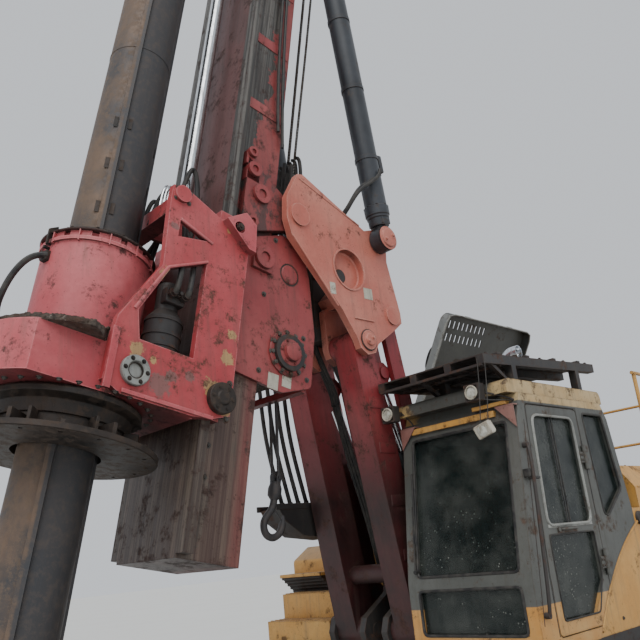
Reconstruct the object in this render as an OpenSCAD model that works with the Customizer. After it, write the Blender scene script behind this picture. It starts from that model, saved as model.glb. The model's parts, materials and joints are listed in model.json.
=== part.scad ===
// Rotary piling rig on tracks, with a leader mast carried by a parallelogram front.
// Millimetres. +X is forward, +Y is the machine's left, +Z is up, and the ground is z = 0.

/* [Tracks] */
// Length of a track over its grousers
track_len = 5050; // [4600:10:5500]
// Height of a track over its grousers
track_h = 1060; // [960:10:1160]
// Width of a track shoe
shoe_w = 800; // [600:50:900]
// Width over both tracks
track_span = 4300; // [4000:10:4600]
// Number of shoes in one track
shoe_count = 50; // [44:1:56]
// Height of a grouser bar above its shoe
grouser_h = 28; // [16:1:40]

/* [Upper machine] */
// Width of the upper machine
upper_w = 3000; // [2900:10:3200]
// Height of the deck above the ground
deck_z = 1440; // [1420:10:1480]
// Distance from the slew axis back to the tail
tail_r = 3950; // [3700:10:4300]
// Diameter of the slew ring
ring_d = 1500; // [1300:10:1700]
// Height of the engine bay above the deck
bay_h = 1180; // [1000:10:1250]
// Angle at which the engine hood stands open
hood_open = 59; // [45:1:75]

/* [Cab] */
// Distance from the slew axis to the foot of the windscreen
cab_front = 1810; // [1780:10:1900]
// Length of the cab
cab_len = 1620; // [1580:10:1660]
// Width of the cab
cab_w = 1010; // [980:10:1040]
// Height of the cab over its roof
cab_h = 1650; // [1600:10:1760]
// Thickness of the cab's walls and posts
cab_wall = 60; // [50:1:70]

/* [Front linkage] */
// Distance from the slew axis forward to the arm's foot pin
arm_foot_x = 1550; // [1520:10:1580]
// Height of the arm's foot pin
arm_foot_z = 1560; // [1550:10:1600]
// Length of the arm between its pins
arm_len = 2180; // [2100:10:2260]
// Forward lean of the arm in degrees
arm_lean = 9; // [6:1:12]
// Depth of the arm
arm_depth = 250; // [220:10:270]
// Outside diameter of a luffing cylinder
luff_d = 136; // [120:2:140]
// Outside diameter of a mast cylinder
mast_cyl_d = 190; // [170:5:196]
// Diameter of the recessed hole in the mast bracket
bracket_hole_d = 330; // [280:10:360]

/* [Mast] */
// Backward lean of the mast in degrees
mast_lean = 12; // [8:1:14]
// Depth of the mast's box column
mast_depth = 460; // [440:10:480]
// Width of the mast's box column
mast_w = 680; // [660:10:700]
// Wall of the mast's box column
mast_wall = 16; // [12:1:24]
// Height of the mast above its pivot
mast_up = 14600; // [13800:50:15400]
// Depth of the mast below its pivot
mast_down = 2570; // [2500:10:2640]
// Distance from the mast's front face to the kelly's axis
kelly_reach = 680; // [670:5:700]

/* [Rotary drive and kelly] */
// Diameter of the drive's upper drum
drum_d = 690; // [670:10:720]
// Height of the drive's upper drum
drum_h = 630; // [580:10:660]
// Depth of the drive's gearbox
gearbox_h = 300; // [260:10:340]
// Radius of the gearbox's round nose
gearbox_r = 610; // [590:10:630]
// Diameter of the guard plate under the drive
guard_d = 1150; // [1060:10:1200]
// Outside diameter of the kelly's outer tube
kelly_d = 440; // [420:5:450]
// Length of the kelly's outer tube
kelly_len = 13400; // [12800:50:13800]
// Side of the square drive stub under the kelly
stub_w = 200; // [180:5:220]
// Diameter of the tool pin's bore in the stub
stub_pin_d = 70; // [60:2:80]

/* [Hidden] */
$fn = 48;

// Gap between a pin and its eye, between an eye and its fork, and between sliding faces
pin_gap = 0.3;
side_gap = 6;
slide_gap = 0.5;

RED = [0.72, 0.25, 0.26];
YELLOW = [0.84, 0.62, 0.24];
GREY = [0.33, 0.34, 0.33];
DARK = [0.13, 0.13, 0.14];
RUST = [0.36, 0.30, 0.27];
CHROME = [0.85, 0.86, 0.88];
GLASS = [0.25, 0.32, 0.32, 0.5];

// Lanes across the machine, outwards from the middle
lane_wall_in = 84;
lane_in = 150;
lane_out = 414;
cheek_t = 60;
cheek_in = lane_out + side_gap;
cheek_out = cheek_in + cheek_t;
link_bar_t = 46;
arm_w = 214;
luff_y = (lane_in + lane_out) / 2;
mast_cyl_y = cheek_out + side_gap + 55;

// Pivots of the front linkage in the slew frame, each [x, z]
arm_dir = [sin(arm_lean), cos(arm_lean)];
arm_foot = [arm_foot_x, arm_foot_z];
arm_head = arm_foot + arm_len * arm_dir;
link_offset = [-330, 250];
link_foot = arm_foot + link_offset;
link_head = arm_head + link_offset;
luff_foot = arm_foot + [-640, 20];
luff_eye_up = 1930;
luff_eye_back = 235;
luff_head = arm_foot + luff_eye_up * arm_dir + luff_eye_back * [-arm_dir[1], arm_dir[0]];
mast_pivot = arm_head + [620, 920];
mast_cyl_foot = arm_head + [-260, 890];

// The mast frame has u forward from the mast's pivot and w up along the mast
mast_back_u = 140;
mast_front_u = mast_back_u + mast_depth;
kelly_u = mast_front_u + kelly_reach;
crowd_u = mast_front_u + 120;
mast_half = mast_w / 2;
rail_w = 80;
rail_t = 70;
rail_out = mast_half + rail_w;
rear_zone_u = mast_front_u - rail_t - 65;
function from_mast(u, w) =
    mast_pivot + [u * cos(mast_lean) - w * sin(mast_lean), u * sin(mast_lean) + w * cos(mast_lean)];
mast_ear_uw = [230, 3610];
mast_cyl_head = from_mast(mast_ear_uw[0], mast_ear_uw[1]);

// Levels of the rotary drive along the mast
drum_top_w = -770;
ring_h = 100;
gearbox_top_w = drum_top_w - drum_h - ring_h;
gearbox_low_w = gearbox_top_w - gearbox_h;
sleeve_h = 220;
guard_t = 25;
guard_w = gearbox_low_w - sleeve_h - 75;
rib_h = 30;
sleeve_bore = kelly_d / 2 + rib_h + 6;
sleeve_r = sleeve_bore + 45;

// Ends of the kelly along the mast
kelly_low_w = -3720;
kelly_top_w = kelly_low_w + kelly_len;
kelly_wall = 16;
inner_d = kelly_d - 2 * kelly_wall - 20;
spring_h = 200;
tray_t = 40;
tray_w = kelly_low_w - spring_h - tray_t;
stub_h = 420;

// The origin lies under the middle of the machine's length, so the slew axis stands off it
nose_x = max([for (p = [[guard_d / 2, guard_w], [gearbox_r, gearbox_low_w], [kelly_d / 2 + rib_h, kelly_low_w],
    [280, tray_w]]) from_mast(kelly_u + p[0], p[1])[0]]);
slew_x = (tail_r - nose_x) / 2;

// Places the children in the slew frame
module slewed() { translate([slew_x, 0, 0]) children(); }

// Places the children in the mast frame
module on_mast() {
    slewed() translate([mast_pivot[0], 0, mast_pivot[1]]) rotate([0, -mast_lean, 0]) children();
}

// Stands the children's z axis along the line from a to b, each [x, z]
module along(a, b) {
    translate([a[0], 0, a[1]]) rotate([0, atan2(b[0] - a[0], b[1] - a[1]), 0]) children();
}

// Extrudes an outline in x and z across the machine from y0 to y1
module side(y0, y1) { translate([0, y1, 0]) rotate([90, 0, 0]) linear_extrude(y1 - y0) children(); }

// A box between two opposite corners
module span(a, b) { translate(a) cube(b - a); }

// Extrudes an outline in y and z along the machine from x0 to x1
module across(x0, x1) { translate([x0, 0, 0]) rotate([90, 0, 90]) linear_extrude(x1 - x0) children(); }

// A round bar along y through p, given as [x, z]
module bar(p, r, y0, y1) { translate([p[0], y1, p[1]]) rotate([90, 0, 0]) cylinder(r = r, h = y1 - y0); }

module both_sides() {
    children();
    mirror([0, 1, 0]) children();
}

// An outline's points with each corner rounded to radius r in n steps
function unit(v) = v / norm(v);
function corner(a, b, c, r, n) =
    let (p = unit(a - b), q = unit(c - b), half = acos(p * q) / 2, d = b + unit(p + q) * (r / sin(half)),
         s = b + p * (r / tan(half)) - d, e = b + q * (r / tan(half)) - d,
         a0 = atan2(s[1], s[0]), turn = atan2(s[0] * e[1] - s[1] * e[0], s * e))
    [for (i = [0 : n]) d + r * [cos(a0 + turn * i / n), sin(a0 + turn * i / n)]];
function rounded(pts, r, n = 4) =
    let (m = len(pts)) [for (i = [0 : m - 1]) each corner(pts[(i + m - 1) % m], pts[i], pts[(i + 1) % m], r, n)];

// Undercarriage

link_h = 52;
shoe_t = 18;
track_y = (track_span - shoe_w) / 2;
pitch_r = track_h / 2 - grouser_h - shoe_t - link_h;
wheel_x = (track_len - track_h) / 2;
turn_len = PI * pitch_r;
path_len = 4 * wheel_x + 2 * turn_len;
shoe_pitch = path_len / shoe_count;

// A point of the track's pitch line at distance s from its lower middle
function on_arc(x, a) = [x + pitch_r * sin(a), -pitch_r * cos(a)];
function on_path(s) =
    s < wheel_x ? [s, -pitch_r] :
    s < wheel_x + turn_len ? on_arc(wheel_x, (s - wheel_x) / turn_len * 180) :
    s < 3 * wheel_x + turn_len ? [2 * wheel_x + turn_len - s, pitch_r] :
    s < 3 * wheel_x + 2 * turn_len ? on_arc(-wheel_x, 180 + (s - 3 * wheel_x - turn_len) / turn_len * 180) :
    [s - path_len, -pitch_r];

// Outline of one shoe, each point [share of the pitch, height over the pitch line]
shoe_low = link_h + 4;
shoe_mid = link_h + shoe_t;
shoe_top = shoe_mid + grouser_h;
shoe_form = [
    [-0.48, shoe_low], [-0.48, shoe_top], [-0.40, shoe_mid], [-0.04, shoe_mid], [0, shoe_top],
    [0.04, shoe_mid], [0.40, shoe_mid], [0.48, shoe_top], [0.48, shoe_low]];
function shoe_points(i) =
    let (a = on_path(i * shoe_pitch), b = on_path((i + 1) * shoe_pitch), d = unit(b - a))
    [for (f = shoe_form) (a + b) / 2 + f[0] * shoe_pitch * d + f[1] * [d[1], -d[0]]];

// Radius of the shoes' inner faces where the track runs round its end wheels
shoe_inner_r = sqrt(pitch_r ^ 2 - (shoe_pitch / 2) ^ 2) + link_h;

// The area inside a belt that runs at radius r round both end wheels
module belt(r) {
    for (x = [-wheel_x, wheel_x]) translate([x, 0]) circle(r = r);
    square([2 * wheel_x, 2 * r], center = true);
}

link_y = 95;
link_t = 46;
module track() {
    color(DARK) slewed() translate([0, track_y, track_h / 2]) {
        side(-shoe_w / 2, shoe_w / 2) difference() {
            polygon([for (i = [0 : shoe_count - 1]) each shoe_points(i)]);
            belt(shoe_inner_r);
        }
        for (y = [-link_y, link_y]) side(y - link_t / 2, y + link_t / 2) difference() {
            belt(shoe_inner_r);
            belt(pitch_r - link_h);
        }
    }
}

wheel_r = pitch_r - link_h - pin_gap;
roller_r = 105;
roller_count = 9;
carrier_r = 78;
frame_half = 190;
tread_half = link_y + link_t / 2 + 6;
guard_plate_t = 30;
tooth_count = round(2 * PI * pitch_r / shoe_pitch);

// Side view of the track frame's box beam about the wheels' height
beam_top = 190;
beam_low = -150;
module beam_outline() {
    polygon([[-wheel_x + 330, beam_low + 60], [-wheel_x + 450, beam_low], [wheel_x - 560, beam_low],
        [wheel_x - 400, beam_low + 70], [wheel_x - 400, beam_top - 60], [wheel_x - 560, beam_top],
        [-wheel_x + 450, beam_top], [-wheel_x + 330, beam_top - 60]]);
}

// A plate that reaches from the beam to an end wheel's axle
module axle_plate(end, y0, y1) {
    x_beam = end * (wheel_x - 620);
    side(y0, y1) {
        polygon([[x_beam, -95], [end * wheel_x, -95], [end * wheel_x, 95], [x_beam, 95]]);
        translate([end * wheel_x, 0]) circle(r = 95);
    }
}

module sprocket() {
    side(-45, 45) difference() {
        union() {
            circle(r = pitch_r - link_h - 4);
            for (i = [0 : tooth_count - 1]) rotate(i * 360 / tooth_count)
                polygon([[0, -62], [pitch_r - 60, -48], [pitch_r + 12, -16], [pitch_r + 12, 16],
                    [pitch_r - 60, 48], [0, 62]]);
        }
        circle(r = 150);
    }
    for (s = [-1, 1]) bar([0, 0], 235, s > 0 ? 45 : -frame_half - 70, s > 0 ? frame_half + 20 : -45);
    bar([0, 0], 150, -frame_half - 120, frame_half + 60);
}

module track_frame() {
    roller_z = -pitch_r + link_h + pin_gap + roller_r;
    carrier_z = pitch_r - link_h - pin_gap - carrier_r;
    roller_run = wheel_x - 560;
    color(DARK) slewed() translate([0, track_y, track_h / 2]) {
        side(-frame_half, frame_half) beam_outline();
        for (s = [-1, 1]) {
            y = s * (tread_half + side_gap + guard_plate_t / 2);
            side(y - guard_plate_t / 2, y + guard_plate_t / 2)
                polygon([[-roller_run, beam_low], [-roller_run + 80, roller_z - 25], [roller_run - 80, roller_z - 25],
                    [roller_run, beam_low]]);
            axle_plate(1, y - guard_plate_t / 2, y + guard_plate_t / 2);
            axle_plate(-1, s > 0 ? 150 : -frame_half, s > 0 ? frame_half : -150);
        }
        for (i = [0 : roller_count - 1]) {
            x = -roller_run + 130 + i * (2 * roller_run - 260) / (roller_count - 1);
            bar([x, roller_z], roller_r, -tread_half, tread_half);
            bar([x, roller_z], 45, -frame_half, frame_half);
        }
        for (x = [-roller_run / 2, roller_run / 2]) {
            bar([x, carrier_z], carrier_r, -tread_half, tread_half);
            for (s = [-1, 1]) side(s > 0 ? tread_half : -tread_half - 24, s > 0 ? tread_half + 24 : -tread_half)
                polygon([[x - 90, beam_top], [x - 40, carrier_z + 40], [x + 40, carrier_z + 40], [x + 90, beam_top]]);
        }
        difference() {
            bar([wheel_x, 0], wheel_r, -tread_half, tread_half);
            for (s = [-1, 1]) bar([wheel_x, 0], wheel_r - 60, s > 0 ? 50 : -tread_half - 1, s > 0 ? tread_half + 1 : -50);
        }
        bar([wheel_x, 0], 130, -tread_half, tread_half);
        bar([wheel_x, 0], 60, -frame_half, frame_half);
        translate([-wheel_x, 0, 0]) sprocket();
    }
}

ring_z = 1130;
ring_top = 1215;
leg_x = 950;
box_top = 1080;
box_y = 780;
box_x = 830;
module car_body() {
    color(DARK) slewed() {
        difference() {
            side(-box_y, box_y) polygon([[-box_x, 560], [90 - box_x, 480], [box_x - 90, 480], [box_x, 560], [box_x, box_top - 180],
                [box_x - 130, box_top], [130 - box_x, box_top], [-box_x, box_top - 180]]);
            for (x = [-500, 500]) span([x - 150, -901, 600], [x + 150, 901, 820]);
        }
        for (s = [-1, 1]) span([s * leg_x - 170, -track_y + frame_half, 520], [s * leg_x + 170, track_y - frame_half, 860]);
        translate([0, 0, box_top]) cylinder(d = ring_d + 160, h = ring_z - box_top);
        translate([0, 0, ring_z]) difference() {
            cylinder(d = ring_d, h = ring_top - ring_z);
            translate([0, 0, 20]) cylinder(d = ring_d - 260, h = ring_top - ring_z);
        }
    }
}

// Upper machine

floor_z = 1290;
plate_t = 30;
deck_back = -3150;
deck_front = 1640;
side_y = upper_w / 2;
tower_floor = floor_z + plate_t;

// Side view of a plate that carries the linkage's foot pins
module tower_outline() {
    polygon([[-700, floor_z], [-700, deck_z], [shoulder_x + 30, deck_z], [shoulder_x + 90, deck_z + 110],
        [300, deck_z + 160], [luff_foot[0] - 60, luff_foot[1] + 130],
        link_foot + [-130, 60], link_foot + [-60, 130], link_foot + [60, 130], link_foot + [140, 20],
        arm_foot + [110, 100], arm_foot + [150, 0], arm_foot + [120, -120], [1560, floor_z]]);
}

module platform() {
    color(DARK) slewed() {
        translate([0, 0, ring_top + pin_gap]) difference() {
            cylinder(d = ring_d + 90, h = floor_z - ring_top - pin_gap);
            translate([0, 0, -1]) cylinder(d = ring_d - 200, h = floor_z - ring_top);
        }
        difference() {
            span([deck_back, -side_y, floor_z], [deck_front, side_y, tower_floor]);
            translate([0, 0, floor_z - 1]) cylinder(r = 260, h = plate_t + 2);
        }
        both_sides() {
            side(cheek_in, cheek_out) difference() {
                union() {
                    tower_outline();
                    polygon([[deck_back, floor_z], [deck_back, deck_z], [-700, deck_z], [-700, floor_z]]);
                }
                for (p = [arm_foot, link_foot, luff_foot]) translate(p) circle(d = pin_d + 2 * pin_gap);
            }
            side(lane_wall_in, lane_in - side_gap) difference() {
                tower_outline();
                for (p = [arm_foot, link_foot, luff_foot]) translate(p) circle(d = pin_d + 2 * pin_gap);
            }
            for (p = [arm_foot, luff_foot]) bar(p, pin_d / 2, lane_wall_in - 4, cheek_out + 14);
            bar(link_foot, pin_d / 2, lane_wall_in - 4, lane_in + link_bar_t + 2);
            bar(link_foot, pin_d / 2, lane_out - link_bar_t - 2, cheek_out + 14);
            for (p = [arm_foot, link_foot, luff_foot]) bar(p, pin_d / 2 + 22, cheek_out, cheek_out + 14);
            span([deck_back, cheek_out, deck_z - 12], [deck_front, side_y, deck_z]);
            span([deck_back, side_y - 60, tower_floor], [deck_front, side_y, deck_z - 12]);
            for (x = [deck_back, deck_back / 2, 0, deck_front - 60]) span([x, cheek_out, tower_floor], [x + 60, side_y - 60, deck_z - 12]);
        }
        span([-700, -lane_wall_in, tower_floor], [-640, lane_wall_in, deck_z]);
    }
}

weight_h = 1060;
module counterweight() {
    color(YELLOW) slewed() difference() {
        translate([0, 0, floor_z]) linear_extrude(weight_h) intersection() {
            circle(r = tail_r, $fn = 96);
            translate([-tail_r, -side_y]) square([tail_r + deck_back, upper_w]);
        }
        side(-side_y - 1, side_y + 1) polygon([[-tail_r - 1, floor_z - 1], [-tail_r + 260, floor_z - 1], [-tail_r - 1, floor_z + 240]]);
        side(-side_y - 1, side_y + 1) polygon([[-tail_r - 1, floor_z + weight_h + 1], [-tail_r + 160, floor_z + weight_h + 1],
            [-tail_r - 1, floor_z + weight_h - 120]]);
        span([deck_back - 420, -1000, floor_z + 120], [deck_back + 1, 1000, floor_z + weight_h + 1]);
        for (y = [-1150, 1150]) translate([-tail_r + 480, y, floor_z + weight_h - 160]) cylinder(d = 90, h = 170);
    }
    color(YELLOW) slewed() for (y = [-1150, 1150])
        bar([-tail_r + 480, floor_z + weight_h - 60], 20, y - 50, y + 50);
}

bay_front = -300;
bay_top = deck_z + bay_h;
bay_wall = 40;
shoulder_x = 40;
shoulder_y = 300;
eave_in = 130;
eave_h = 190;
hood_x0 = -2020;
hood_x1 = -334;
hood_w = 2180;
hood_lip = 106;
hood_t = 12;
hood_axis = [-side_y + eave_in - 14, bay_top + 22];
hood_lug_x = [hood_x0 + 240, hood_x1 - 240];
door_front = -850;
door_back = -1950;
door_low = deck_z + 90;
door_top = bay_top - 230;
door_gap = 6;

// Plan of the engine bay with its left shoulder behind the cab, drawn in by t
module bay_plan(t) {
    polygon([[deck_back + t, -side_y + t], [bay_front - t, -side_y + t], [bay_front - t, shoulder_y + t],
        [shoulder_x - t, shoulder_y + t], [shoulder_x - t, side_y - t], [deck_back + t, side_y - t]]);
}

// The bay's volume drawn in by t; the side walls' upper corners slope inwards
module bay_shell(t) {
    intersection() {
        translate([0, 0, deck_z]) linear_extrude(bay_h - t) bay_plan(t);
        across(deck_back, shoulder_x + 1) polygon([[-side_y + t, deck_z], [side_y - t, deck_z],
            [side_y - t, bay_top - eave_h - t / 2], [side_y - eave_in - t / 2, bay_top - t],
            [-side_y + eave_in + t / 2, bay_top - t], [-side_y + t, bay_top - eave_h - t / 2]]);
    }
}

// The fender that curves down from the bay past the cab's lower rear corner
fender_r = 2212;
fender_mid = [720, 1827];
fender_turn = 50;
fender_at = fender_mid - fender_r * [cos(fender_turn), sin(fender_turn)];
module fender_disc(grow) { translate(fender_at) circle(r = fender_r + grow, $fn = 240); }
fender_x = 1090;
fender_top = deck_z + 830;
module fender_outline(grow) {
    intersection() {
        fender_disc(grow);
        translate([-60, deck_z]) square([fender_x + 60 + grow, fender_top - deck_z + grow]);
    }
    translate([-60, deck_z]) square([255 + grow, fender_top - deck_z + grow]);
}

vent_count = 7;
module engine_bay() {
    roof_in = 80;
    color(YELLOW) slewed() difference() {
        bay_shell(0);
        difference() {
            bay_shell(bay_wall);
            span([deck_back, -side_y, deck_z - 1], [shoulder_x, side_y, deck_z + 6]);
        }
        span([hood_x0 + roof_in, hood_axis[0] + roof_in, bay_top - bay_wall - 1],
            [hood_x1 - roof_in, hood_axis[0] + hood_w - roof_in, bay_top + 1]);
        for (s = [-1, 1]) span([door_back, s > 0 ? side_y - bay_wall - 1 : -side_y - 1, door_low],
            [door_front, s > 0 ? side_y + 1 : -side_y + bay_wall + 1, door_top]);
        for (s = [-1, 1], i = [0 : vent_count - 1]) translate([0, 0, i * 90])
            span([deck_back + 200, s > 0 ? side_y - bay_wall - 1 : -side_y - 1, deck_z + 220],
                [door_back - 200, s > 0 ? side_y + 1 : -side_y + bay_wall + 1, deck_z + 255]);
    }
    color(YELLOW) slewed() side(fender_in, side_y) fender_outline(0);
    color(YELLOW) slewed() both_sides() for (z = bay_hinge_z) translate([bay_hinge_x, bay_hinge_y, z])
        fixed_knuckles([[0, side_y - bay_hinge_y, 0], [60, 4, 0]]);
    color(GREY) slewed() for (x = hood_lug_x) difference() {
        across(x, x + 34) translate(hood_axis) polygon([[-26, -92], [-24, 6], [-10, 18], [10, 18], [26, -2], [30, -60]]);
        translate([x - 1, hood_axis[0], hood_axis[1]]) rotate([0, 90, 0]) cylinder(r = 8 + pin_gap, h = 36);
    }
}

module engine_block() {
    color(GREY) slewed() span([-2350, -380, deck_z + 6], [-1180, 480, deck_z + 920]);
}

// Plan of the hood about its hinge line, drawn in by t
module hood_plan(t) {
    polygon(rounded([[hood_x1 - t, 30 + t], [hood_x1 - t, hood_w - t], [hood_x0 + t, hood_w - t], [hood_x0 + t, 30 + t]], 110 - t));
}

// The hood is a shallow tray, drawn open about the hinge along its right edge
module engine_hood() {
    slot_x = hood_x1 - 170;
    color(GREY) slewed() translate([0, hood_axis[0], hood_axis[1]]) rotate([hood_open, 0, 0]) {
        difference() {
            translate([0, 0, -6]) linear_extrude(hood_lip) hood_plan(0);
            translate([0, 0, -7]) linear_extrude(hood_lip - hood_t + 1) hood_plan(hood_t);
            for (i = [0 : 8], y = [hood_w - 310, hood_w - 160]) translate([slot_x - i * 82, y, 0])
                span([-28, 0, 0], [0, 84, hood_lip]);
        }
        for (y = [hood_w / 3, hood_w * 2 / 3]) span([hood_x0 + hood_t, y, hood_lip - 46], [hood_x1 - hood_t, y + 40, hood_lip - hood_t - 6]);
        for (x = hood_lug_x) {
            across(x - 40, x - 4) polygon([[-14, 0], [0, -14], [60, -14], [60, 20], [40, 60], [30, 60], [-10, 14]]);
            translate([x - 40, 0, 0]) rotate([0, 90, 0]) cylinder(r = 8, h = 84);
        }
    }
}

// A side door of the engine bay, hinged along its front edge
module service_door() {
    y1 = side_y - 2;
    color(YELLOW) slewed() {
        difference() {
            span([door_back + door_gap, y1 - 36, door_low + door_gap], [door_front - door_gap, y1, door_top - door_gap]);
            span([door_back + 50, y1 - 37, door_low + 50], [door_front - 50, y1 - 6, door_top - 50]);
            for (i = [0 : vent_count - 1]) translate([0, 0, i * 80])
                span([door_back + 200, y1 - 40, door_low + 180], [door_back + 620, y1 + 1, door_low + 212]);
        }
        for (z = bay_hinge_z) translate([bay_hinge_x, bay_hinge_y, z]) difference() {
            union() {
                cylinder(r = knuckle_r, h = knuckle_h);
                span([-60, y1 - bay_hinge_y, 0], [0, 4, knuckle_h]);
            }
            translate([0, 0, -1]) cylinder(r = knuckle_pin_r + pin_gap, h = knuckle_h + 2);
        }
    }
}
bay_hinge_x = door_front - 8;
bay_hinge_y = side_y + 15;
bay_hinge_z = [door_low + 120, door_top - 240];

tank_h = 800;
module fuel_tank() {
    tank_top = deck_z + tank_h;
    tank_back = bay_front + side_gap;
    tank_in = 560;
    color(YELLOW) slewed() {
        side(-side_y + 40, -tank_in) polygon(rounded([[tank_back, deck_z + 0.2], [1150, deck_z + 0.2], [1150, tank_top - 120],
            [950, tank_top], [tank_back, tank_top]], 40, 3));
        for (i = [0 : 1]) side(-side_y + 90, -tank_in - 50)
            polygon([[1150, deck_z + 0.2], [1560 - i * 200, deck_z + 0.2], [1560 - i * 200, deck_z + 190 + i * 210],
                [1150, deck_z + 190 + i * 210]]);
        translate([200, -side_y + 300, tank_top]) cylinder(d = 130, h = 60);
    }
}

module exhaust() {
    pipe_r = 62;
    pipe_h = 1110;
    bend_r = 110;
    color(CHROME) slewed() translate([-180, shoulder_y + 100, bay_top + 0.2]) {
        cylinder(r = pipe_r + 24, h = 18);
        difference() {
            union() {
                cylinder(r = pipe_r, h = pipe_h);
                translate([0, bend_r, pipe_h]) rotate([90, 0, 90]) rotate([0, 0, 90]) rotate_extrude(angle = 90)
                    translate([bend_r, 0]) circle(r = pipe_r);
                translate([0, bend_r, pipe_h + bend_r]) rotate([-90, 0, 0]) cylinder(r = pipe_r, h = 60);
            }
            translate([0, bend_r + 10, pipe_h + bend_r]) rotate([-90, 0, 0]) cylinder(r = pipe_r - 5, h = 61);
        }
    }
}

rail_h = 900;
module handrails() {
    r = 19;
    y = side_y - 200;
    right_end = hood_x0 - 120;
    left_end = -900;
    color(YELLOW) slewed() {
        for (f = [[-y, right_end, [deck_back + 60, right_end - 40]], [y, left_end, [deck_back + 60, -2040, left_end - 40]]]) {
            for (x = f[2]) translate([x, f[0], bay_top + 0.2]) {
                cylinder(r = r, h = rail_h - 4);
                cylinder(r = 45, h = 10);
            }
            for (z = [rail_h / 2, rail_h]) translate([deck_back + 30, f[0], bay_top + z]) rotate([0, 90, 0])
                cylinder(r = r - 2, h = f[1] - deck_back - 30);
        }
        for (z = [rail_h / 2, rail_h]) translate([deck_back + 60, -y - 30, bay_top + z]) rotate([-90, 0, 0])
            cylinder(r = r - 3, h = 2 * y + 60);
    }
}

// Cab

cab_y0 = 500;
cab_y1 = cab_y0 + cab_w;
cab_back = cab_front - cab_len;
cab_top = deck_z + cab_h;
split_z = deck_z + 450;

brow_z = cab_top - 170;
screen_lean = 155;
back_z = split_z + 300;
back_lean = 120;
cap_h = 100;
cap_top = cab_top + cap_h;

// Distance of the windscreen's and the rear wall's outer faces at height z
function screen_x(z) = cab_front - screen_lean * (z - split_z) / (brow_z - split_z);
function rear_x(z) = cab_back + back_lean * (z - back_z) / (cab_top - 130 - back_z);

// Side view of the cab, drawn in by t
module cab_outline(t) {
    polygon([[cab_back + t, deck_z + t], [cab_front - t, deck_z + t], [cab_front - t, split_z],
        [screen_x(brow_z) - t, brow_z], [screen_x(brow_z) - 75 - t, cab_top - t], [cab_back + 190 + t / 2, cab_top - t],
        [cab_back + back_lean + t, cab_top - 130], [cab_back + t, back_z]]);
}

door_x0 = cab_back + 620;
door_x1 = cab_front - 210;
door_band = [split_z + 240, split_z + 300];
quarter_pts = [[cab_back + 120, deck_z + 980], [door_x0 - 190, deck_z + 780], [door_x0 - 130, deck_z + 800],
    [door_x0 - 90, cab_top - 100], [cab_back + 210, cab_top - 100]];
right_pts = [[cab_back + 150, deck_z + 480], [cab_front - 230, deck_z + 480], [cab_front - 290, cab_top - 200],
    [cab_back + 220, cab_top - 200]];

// Side views of the door and its windows, which the fender's curve cuts at the lower rear corner
module door_outline(t) {
    difference() {
        polygon(rounded([[door_x0 + t, deck_z + 70 + t], [door_x1 - t, deck_z + 70 + t], [door_x1 - t, split_z],
            [door_x1 - 70 - t, cab_top - 75 - t], [door_x0 + t, cab_top - 75 - t]], 30, 3));
        fender_disc(side_gap + t);
    }
}
module door_low_window() {
    difference() {
        polygon([[door_x0 + 90, deck_z + 160], [door_x1 - 85, deck_z + 160], [door_x1 - 85, door_band[0]], [door_x0 + 90, door_band[0]]]);
        fender_disc(95);
    }
}
module door_high_window() {
    polygon(rounded([[door_x0 + 90, door_band[1]], [door_x1 - 90, door_band[1]], [door_x1 - 135, cab_top - 150],
        [door_x0 + 90, cab_top - 150]], 50));
}

hatch_x = [cab_back + 440, cab_back + 960];
hatch_y = [cab_y0 + 245, cab_y1 - 245];
fender_in = cab_y1 - cab_wall + side_gap;
module cab_frame() {
    color(GREY) slewed() difference() {
        side(cab_y0, cab_y1) cab_outline(0);
        side(cab_y0 + cab_wall, cab_y1 - cab_wall) cab_outline(cab_wall);
        span([cab_front - 400, cab_y0 + 90, deck_z + 110], [cab_front + 1, cab_y1 - 90, split_z - 50]);
        span([cab_front - 400, cab_y0 + 90, split_z + 40], [cab_front + 1, cab_y1 - 90, brow_z - 20]);
        span([cab_back - 1, cab_y0 + 130, back_z + 60], [cab_back + 260, cab_y1 - 130, cab_top - 200]);
        side(cab_y1 - cab_wall - 1, cab_y1 + 1) {
            door_outline(0);
            polygon(rounded(quarter_pts, 20, 3));
            fender_outline(side_gap);
        }
        side(cab_y0 - 1, cab_y0 + cab_wall + 1) polygon(right_pts);
        span([hatch_x[0], hatch_y[0], cab_top - 100], [hatch_x[1], hatch_y[1], cab_top + 1]);
    }
    color(GREY) slewed() side(cab_y1 - cab_wall - 40, cab_y1 - cab_wall) intersection() {
        fender_disc(30);
        translate([cab_back + cab_wall - 1, deck_z + cab_wall - 1]) square([fender_x - cab_back, fender_top - deck_z]);
    }
    color(YELLOW) slewed() difference() {
        side(cab_y0 + 20, cab_y1 - 20) polygon(rounded([[cab_back + 110, cab_top - cap_h], [cab_front - 120, cab_top - cap_h],
            [cab_front - 120, cap_top], [cab_back + 110, cap_top]], 48));
        span([cab_back, cab_y0, cab_top - cap_h - 1], [cab_front, cab_y1, cab_top]);
        span([hatch_x[0], hatch_y[0], cab_top - 1], [hatch_x[1], hatch_y[1], cap_top + 1]);
    }
    color(GREY) slewed() for (z = door_hinge_z) translate([door_hinge_x, door_hinge_y, z])
        fixed_knuckles([[-60, cab_y1 - door_hinge_y, 0], [0, 4, 0]]);
}

// A leaning pane between heights z0 and z1 whose outer face lies at the distances x0 and x1
pane_t = 6;
module pane(x0, z0, x1, z1) { polygon([[x0, z0], [x1, z1], [x1 - pane_t, z1], [x0 - pane_t, z0]]); }

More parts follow.
